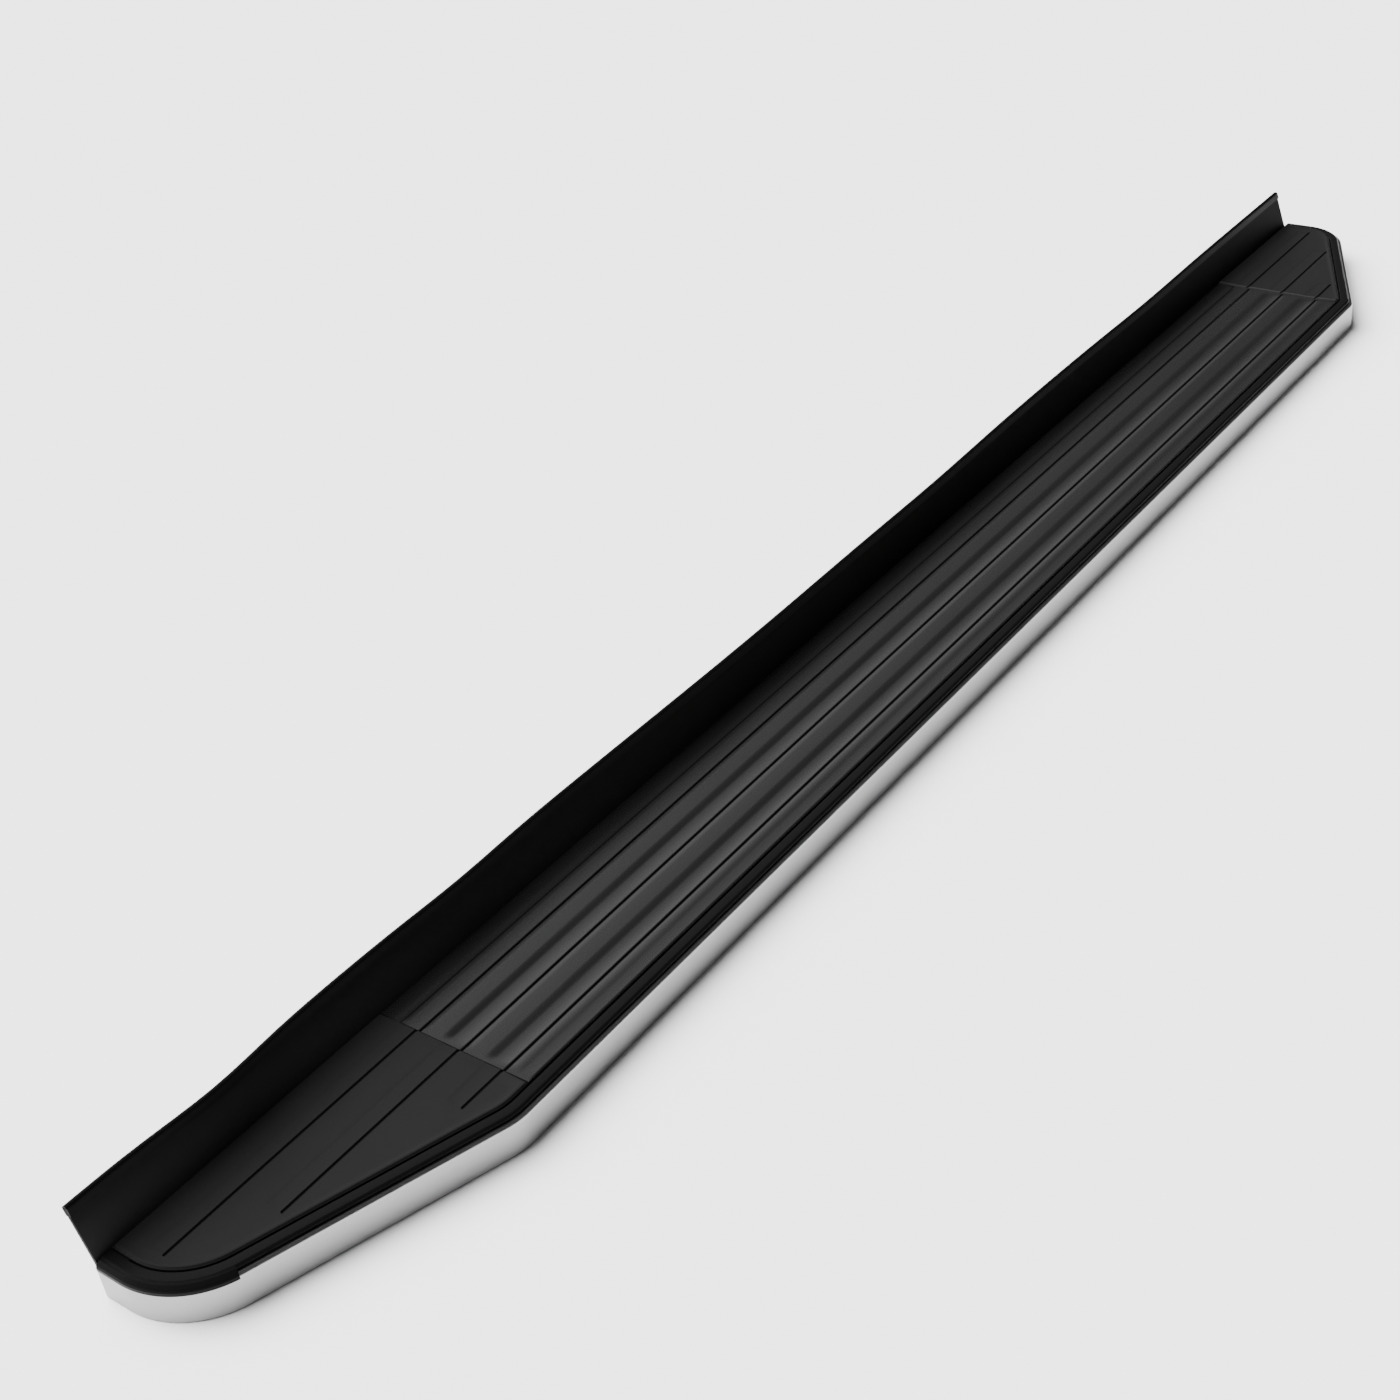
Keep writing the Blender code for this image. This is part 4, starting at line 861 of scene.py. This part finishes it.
def seal_ring(x):
    """Bulb with two lips that grip the flap, drawn from its outer lip over the top."""
    low_y, low_z = flap_rise(x, 0.85)
    top_y, top_z = flap_rise(x, 1.0)
    lean = Vector((top_y - low_y, top_z - low_z)).normalized()
    side = Vector((lean.y, -lean.x))
    middle = Vector((FLAP_FACE + FLAP_THICK / 2 + top_y, top_z))
    outer, inner, grip = 0.0028, 0.0018, 0.0065
    section = [(-outer, -grip)]
    for step in range(11):
        turn = math.pi * step / 10
        section.append((-outer * math.cos(turn), -0.0013 + 0.0026 * math.sin(turn)))
    section += [(outer, -grip), (inner, -grip), (inner, 0.0003), (-inner, 0.0003), (-inner, -grip)]
    points = [middle + side * across + lean * rise for across, rise in section]
    return [(x, point.x, point.y) for point in points]


seal_low, seal_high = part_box("flap_edge_seal")
seal_xs = [seal_low[0] + (seal_high[0] - seal_low[0]) * step / flap_steps for step in range(flap_steps + 1)]
seal = settled(lofted("seal_loft", [seal_ring(x) for x in seal_xs], seal_skin), "soft_seal", 40.0)
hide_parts("flap_edge_seal")
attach(seal, "board")


# ---- Core and flap bar -------------------------------------------------------------------------
# Extruded aluminium, left as it came from the mill with fine draw lines along its length. The core
# carries the tread and takes the bolts in its slots, and the bar clamps the flap to the rail.
mill, mill_shader, mill_place = finish("mill_aluminium_extrusion", (0.50, 0.51, 0.52), 0.36, metallic=1.0)
draw_lines = grain(mill_place, 1.0, 3.0, (3.0, 1700.0, 1700.0), 0.6)
oxide = grain(mill_place, 30.0, 5.0)
(0.28 + draw_lines * 0.16 + oxide * 0.10).into(mill_shader.inputs["Roughness"])
tinted(oxide, (0.44, 0.45, 0.46), (0.57, 0.58, 0.59)).into(mill_shader.inputs["Base Color"])
relief(draw_lines, mill_shader, 0.20, 0.0001)
for node_name in ("core_extrusion", "flap_retainer"):
    for slot_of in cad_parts[node_name].material_slots:
        slot_of.material = mill


# ---- Brackets ----------------------------------------------------------------------------------
# Folded 4 mm steel plate with round bolt holes in the foot and an upright slot for the vehicle bolt,
# powder coated satin black. Each slides on the core with its own bolts.
powder, powder_shader, powder_place = finish("satin_powder_coat", (0.014, 0.014, 0.015), 0.42)
peel = grain(powder_place, 650.0, 3.0)
rubbing = grain(powder_place, 45.0, 5.0)
(0.34 + peel * 0.14 + rubbing * 0.08).into(powder_shader.inputs["Roughness"])
tinted(rubbing, (0.011, 0.011, 0.012), (0.020, 0.020, 0.021)).into(powder_shader.inputs["Base Color"])
relief(peel, powder_shader, 0.30, 0.0002)
BOLT_INSETS = (0.052, 0.114)
BOLT_HOLE = 0.0044
SLOT_RADIUS = 0.0045
PLATE_THICK = 0.0040
foot_top = TREAD_Z - 0.0198
foot_outer = OUTER_Y + 0.034
upright_back = 0.088
bracket_top = TREAD_Z + 0.016
slot_top = TREAD_Z + 0.0055
slot_low = TREAD_Z - 0.0045
slot_start = upright_back - 0.008
slot_end = upright_back + 0.004
for side_name in ("front", "centre", "rear"):
    low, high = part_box("bracket_" + side_name)
    middle_x = (low[0] + high[0]) / 2
    section = softened([
        (foot_outer, foot_top, 0.0), (foot_outer, foot_top - PLATE_THICK, 0.0),
        (upright_back, foot_top - PLATE_THICK, 0.0080), (upright_back, bracket_top, 0.0),
        (upright_back - PLATE_THICK, bracket_top, 0.0), (upright_back - PLATE_THICK, foot_top, 0.0040)], 10)
    plate = carried("plate_" + side_name, [(low[0], 0.0, 0.0), (high[0], 0.0, 0.0)], section, powder)
    bolt_places = [(middle_x, OUTER_Y + inset, 0.0) for inset in BOLT_INSETS]
    slot_sides = [(middle_x - SLOT_RADIUS, 0.0, 0.0), (middle_x + SLOT_RADIUS, 0.0, 0.0)]
    slot_section = [
        (slot_start, slot_low), (slot_end, slot_low), (slot_end, slot_top), (slot_start, slot_top)]
    slot_shape = joined(
        rods("slot_top", [(middle_x, 0.0, slot_top)], SLOT_RADIUS, slot_start, slot_end, INWARDS, 32),
        rods("slot_low", [(middle_x, 0.0, slot_low)], SLOT_RADIUS, slot_start, slot_end, INWARDS, 32),
        carried("slot_mid", slot_sides, slot_section, powder))
    plate = joined(
        plate, slot_shape,
        rods("foot_holes", bolt_places, BOLT_HOLE, foot_top - 0.006, foot_top + 0.002, UPWARDS, 32),
        operation="DIFFERENCE")
    edge = plate.modifiers.new("edge", "BEVEL")
    edge.width = 0.0005
    edge.segments = 2
    edge.angle_limit = math.radians(50)
    bracket = settled(plate, "bracket_plate_" + side_name, 40.0)
    bracket.data.materials.clear()
    bracket.data.materials.append(powder)
    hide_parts("bracket_" + side_name)
    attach(bracket, side_name + "_mounting_set")


# ---- Bolts, washers and nuts -------------------------------------------------------------------
# Zinc plated M8 T-bolts with their heads in the core's slots, each with a flat washer and a
# chamfered hexagon nut under the bracket's foot. The set is the same at all six places.
zinc, zinc_shader, zinc_place = finish("clear_zinc_plate", (0.50, 0.51, 0.53), 0.30, metallic=1.0)
spangle = grain(zinc_place, 180.0, 4.0)
(0.24 + spangle * 0.18).into(zinc_shader.inputs["Roughness"])
tinted(spangle, (0.42, 0.43, 0.46), (0.58, 0.59, 0.60)).into(zinc_shader.inputs["Base Color"])
relief(grain(zinc_place, 1400.0, 2.0), zinc_shader, 0.12, 0.0001)


def spun(name, profile, sides, closed=False):
    """A shape turned about Z from (radius, height) points."""
    work = bmesh.new()
    rings = []
    for radius, level in profile:
        angles = [2 * math.pi * step / sides for step in range(sides)]
        rings.append([work.verts.new((radius * math.cos(a), radius * math.sin(a), level)) for a in angles])
    pairs = list(zip(rings, rings[1:])) + ([(rings[-1], rings[0])] if closed else [])
    for ring, following in pairs:
        for index in range(sides):
            after = (index + 1) % sides
            work.faces.new((ring[index], ring[after], following[after], following[index]))
    if not closed:
        work.faces.new(rings[0])
        work.faces.new(rings[-1])
    bmesh.ops.recalc_face_normals(work, faces=work.faces)
    mesh = bpy.data.meshes.new(name)
    work.to_mesh(mesh)
    work.free()
    piece = placed(name, mesh)
    return piece


def hexagon(name, flats, low, high):
    """A six-sided plate, by its width across flats."""
    reach = flats / math.sqrt(3)
    turns = [math.pi * (side + 0.5) / 3 for side in range(6)]
    return sheet_of(name, [[(reach * math.cos(turn), reach * math.sin(turn)) for turn in turns]], low, high)


HEAD_THICK = 0.0045
THREAD_PITCH = 0.00125
head_low = TREAD_Z - 0.0167
head = bpy.data.meshes.new("t_head")
shape = bmesh.new()
head_middle = Matrix.Translation((0, 0, head_low + HEAD_THICK / 2))
bmesh.ops.create_cube(shape, matrix=head_middle @ Matrix.Diagonal((0.020, 0.0164, HEAD_THICK, 1.0)))
bmesh.ops.bevel(shape, geom=shape.edges[:], offset=0.0008, segments=2, affect="EDGES")
shape.to_mesh(head)
shape.free()
t_head = placed("t_head", head)
thread = [(0.0034, 0.0), (0.0040, 0.0006)]
for turn_number in range(12):
    level = 0.0006 + turn_number * THREAD_PITCH
    thread += [(0.0040, level + 0.0002), (0.00365, level + 0.0007), (0.0040, level + 0.0012)]
thread.append((0.0040, head_low + 0.001))
t_bolt = joined(t_head, spun("thread", thread, 32))
nut_top = TREAD_Z - 0.0256
nut_low = nut_top - 0.0055
chamfer = spun("nut_chamfer", [
    (0.0060, nut_low), (0.0076, nut_low + 0.0007), (0.0076, nut_top - 0.0007), (0.0060, nut_top)], 48)
nut = joined(hexagon("hex_body", 0.0130, nut_low, nut_top), chamfer, operation="INTERSECT")
bore = spun("nut_bore", [
    (0.0050, nut_low - 0.0005), (BOLT_HOLE, nut_low + 0.0006), (BOLT_HOLE, nut_top - 0.0006),
    (0.0050, nut_top + 0.0005)], 32)
nut = joined(nut, bore, operation="DIFFERENCE")
washer_top = TREAD_Z - 0.0241
washer = spun("washer_ring", [
    (0.0044, washer_top), (0.0088, washer_top), (0.0090, washer_top - 0.0002), (0.0090, washer_top - 0.0010),
    (0.0088, washer_top - 0.0012), (0.0044, washer_top - 0.0012)], 48, closed=True)

set_tree = bpy.data.node_groups.new("bolt_sets", "GeometryNodeTree")
sets = node_inputs(set_tree, Bolt="Object", Washer="Object", Nut="Object", Finish="Material")
bundle = sets["Geometry"].node("GeometryNodeJoinGeometry")
for part_name in ("Bolt", "Washer", "Nut"):
    shape_of = bundle.node("GeometryNodeObjectInfo", {}, {"Object": sets[part_name]}, output="Geometry")
    shape_of.into(bundle.socket.node.inputs["Geometry"])
tree_ends(
    bundle.node("GeometryNodeInstanceOnPoints", {}, {"Points": sets["Geometry"], "Instance": bundle}),
    sets["Finish"])


def point_cloud(name, places):
    """Loose points, where a tree puts its copies."""
    mesh = bpy.data.meshes.new(name)
    mesh.from_pydata(places, [], [])
    cloud = placed(name, mesh)
    return cloud


for side_name in ("front", "centre", "rear"):
    low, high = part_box("bracket_" + side_name)
    middle_x = (low[0] + high[0]) / 2
    spots = point_cloud("set_points", [(middle_x, OUTER_Y + inset, 0.0) for inset in BOLT_INSETS])
    filled = grown(spots, set_tree, {"Bolt": t_bolt, "Washer": washer, "Nut": nut, "Finish": zinc})
    fixing = settled(filled, "bolt_sets_" + side_name, 30.0, merge=0.000001)
    ends = [f"{kind}_{side_name}_{end}" for kind in ("t_bolt", "washer", "nut") for end in ("outer", "inner")]
    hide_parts(*ends)
    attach(fixing, side_name + "_mounting_set")
for pattern in (t_bolt, washer, nut):
    bpy.data.objects.remove(pattern, do_unlink=True)


# ---- Small screws ------------------------------------------------------------------------------
# Zinc plated pan heads with a cross recess: five up through the strip's hem, six through the flap
# bar, and two under each end cap.
def pan_screw(name, length):
    """A pan head with its seat at zero, a cross recess, and a tapping thread below."""
    profile = [
        (0.0003, 0.00175), (0.0018, 0.0017), (0.0028, 0.00135), (0.00335, 0.0008), (0.0035, 0.0002),
        (0.0034, 0.0), (0.0014, 0.0)]
    root, crest = 0.0011, 0.0015
    level = -0.0004
    while level > -length + 0.0016:
        profile += [(root, level), (crest, level - 0.0003), (crest, level - 0.0004), (root, level - 0.0007)]
        level -= 0.0009
    profile.append((0.0002, -length))
    body = spun(name, profile, 24)
    arms = bpy.data.meshes.new(name + "_recess")
    work = bmesh.new()
    for size in ((0.0034, 0.0006, 0.002, 1.0), (0.0006, 0.0034, 0.002, 1.0)):
        bmesh.ops.create_cube(work, matrix=Matrix.Translation((0, 0, 0.0018)) @ Matrix.Diagonal(size))
    work.to_mesh(arms)
    work.free()
    recess = placed(name + "_recess", arms)
    recess_cutter = settled(recess, name + "_cross")
    return joined(body, recess_cutter, operation="DIFFERENCE")


screw_tree = bpy.data.node_groups.new("screws_in_a_row", "GeometryNodeTree")
row = node_inputs(screw_tree, Screw="Object", Turn="Rotation", Finish="Material")
screw_shape = row["Geometry"].node("GeometryNodeObjectInfo", {}, {"Object": row["Screw"]}, output="Geometry")
tree_ends(
    screw_shape.node("GeometryNodeInstanceOnPoints", {}, {
        "Points": row["Geometry"], "Instance": screw_shape, "Rotation": row["Turn"]}),
    row["Finish"])


def screw_row(name, places, length, turn, nodes):
    """Screws of one length, each turned from pointing down to its own direction."""
    pattern = pan_screw(name + "_pattern", length)
    filled = grown(
        point_cloud(name + "_points", places), screw_tree, {"Screw": pattern, "Turn": turn, "Finish": zinc})
    fixing = settled(filled, name, 30.0, merge=0.000001)
    bpy.data.objects.remove(pattern, do_unlink=True)
    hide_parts(*nodes)
    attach(fixing, "board")


def nodes_of(stem, count):
    """The names of numbered CAD nodes."""
    return [f"{stem}_{number}" for number in range(1, count + 1)]


HEAD_HEIGHT = 0.0018
POINTING_UP = (math.pi, 0.0, 0.0)
POINTING_OUT = (-math.pi / 2, 0.0, 0.0)
hem_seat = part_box("trim_screw_1")[0][2] + HEAD_HEIGHT
hem_places = [(place.x, place.y, hem_seat) for place in trim_screws]
screw_row("hem_screws", hem_places, 0.0060, POINTING_UP, nodes_of("trim_screw", 5))
cap_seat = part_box("front_cap_screw_1")[0][2] + HEAD_HEIGHT
cap_places = [(place.x, place.y, cap_seat) for place in cap_screws]
cap_nodes = nodes_of("front_cap_screw", 2) + nodes_of("rear_cap_screw", 2)
screw_row("cap_screws", cap_places, 0.0053, POINTING_UP, cap_nodes)
bar_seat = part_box("retainer_screw_1")[1][1] - HEAD_HEIGHT
bar_places = [(place.x, bar_seat, place.z) for place in bar_screws]
screw_row("bar_screws", bar_places, 0.0094, POINTING_OUT, nodes_of("retainer_screw", 6))
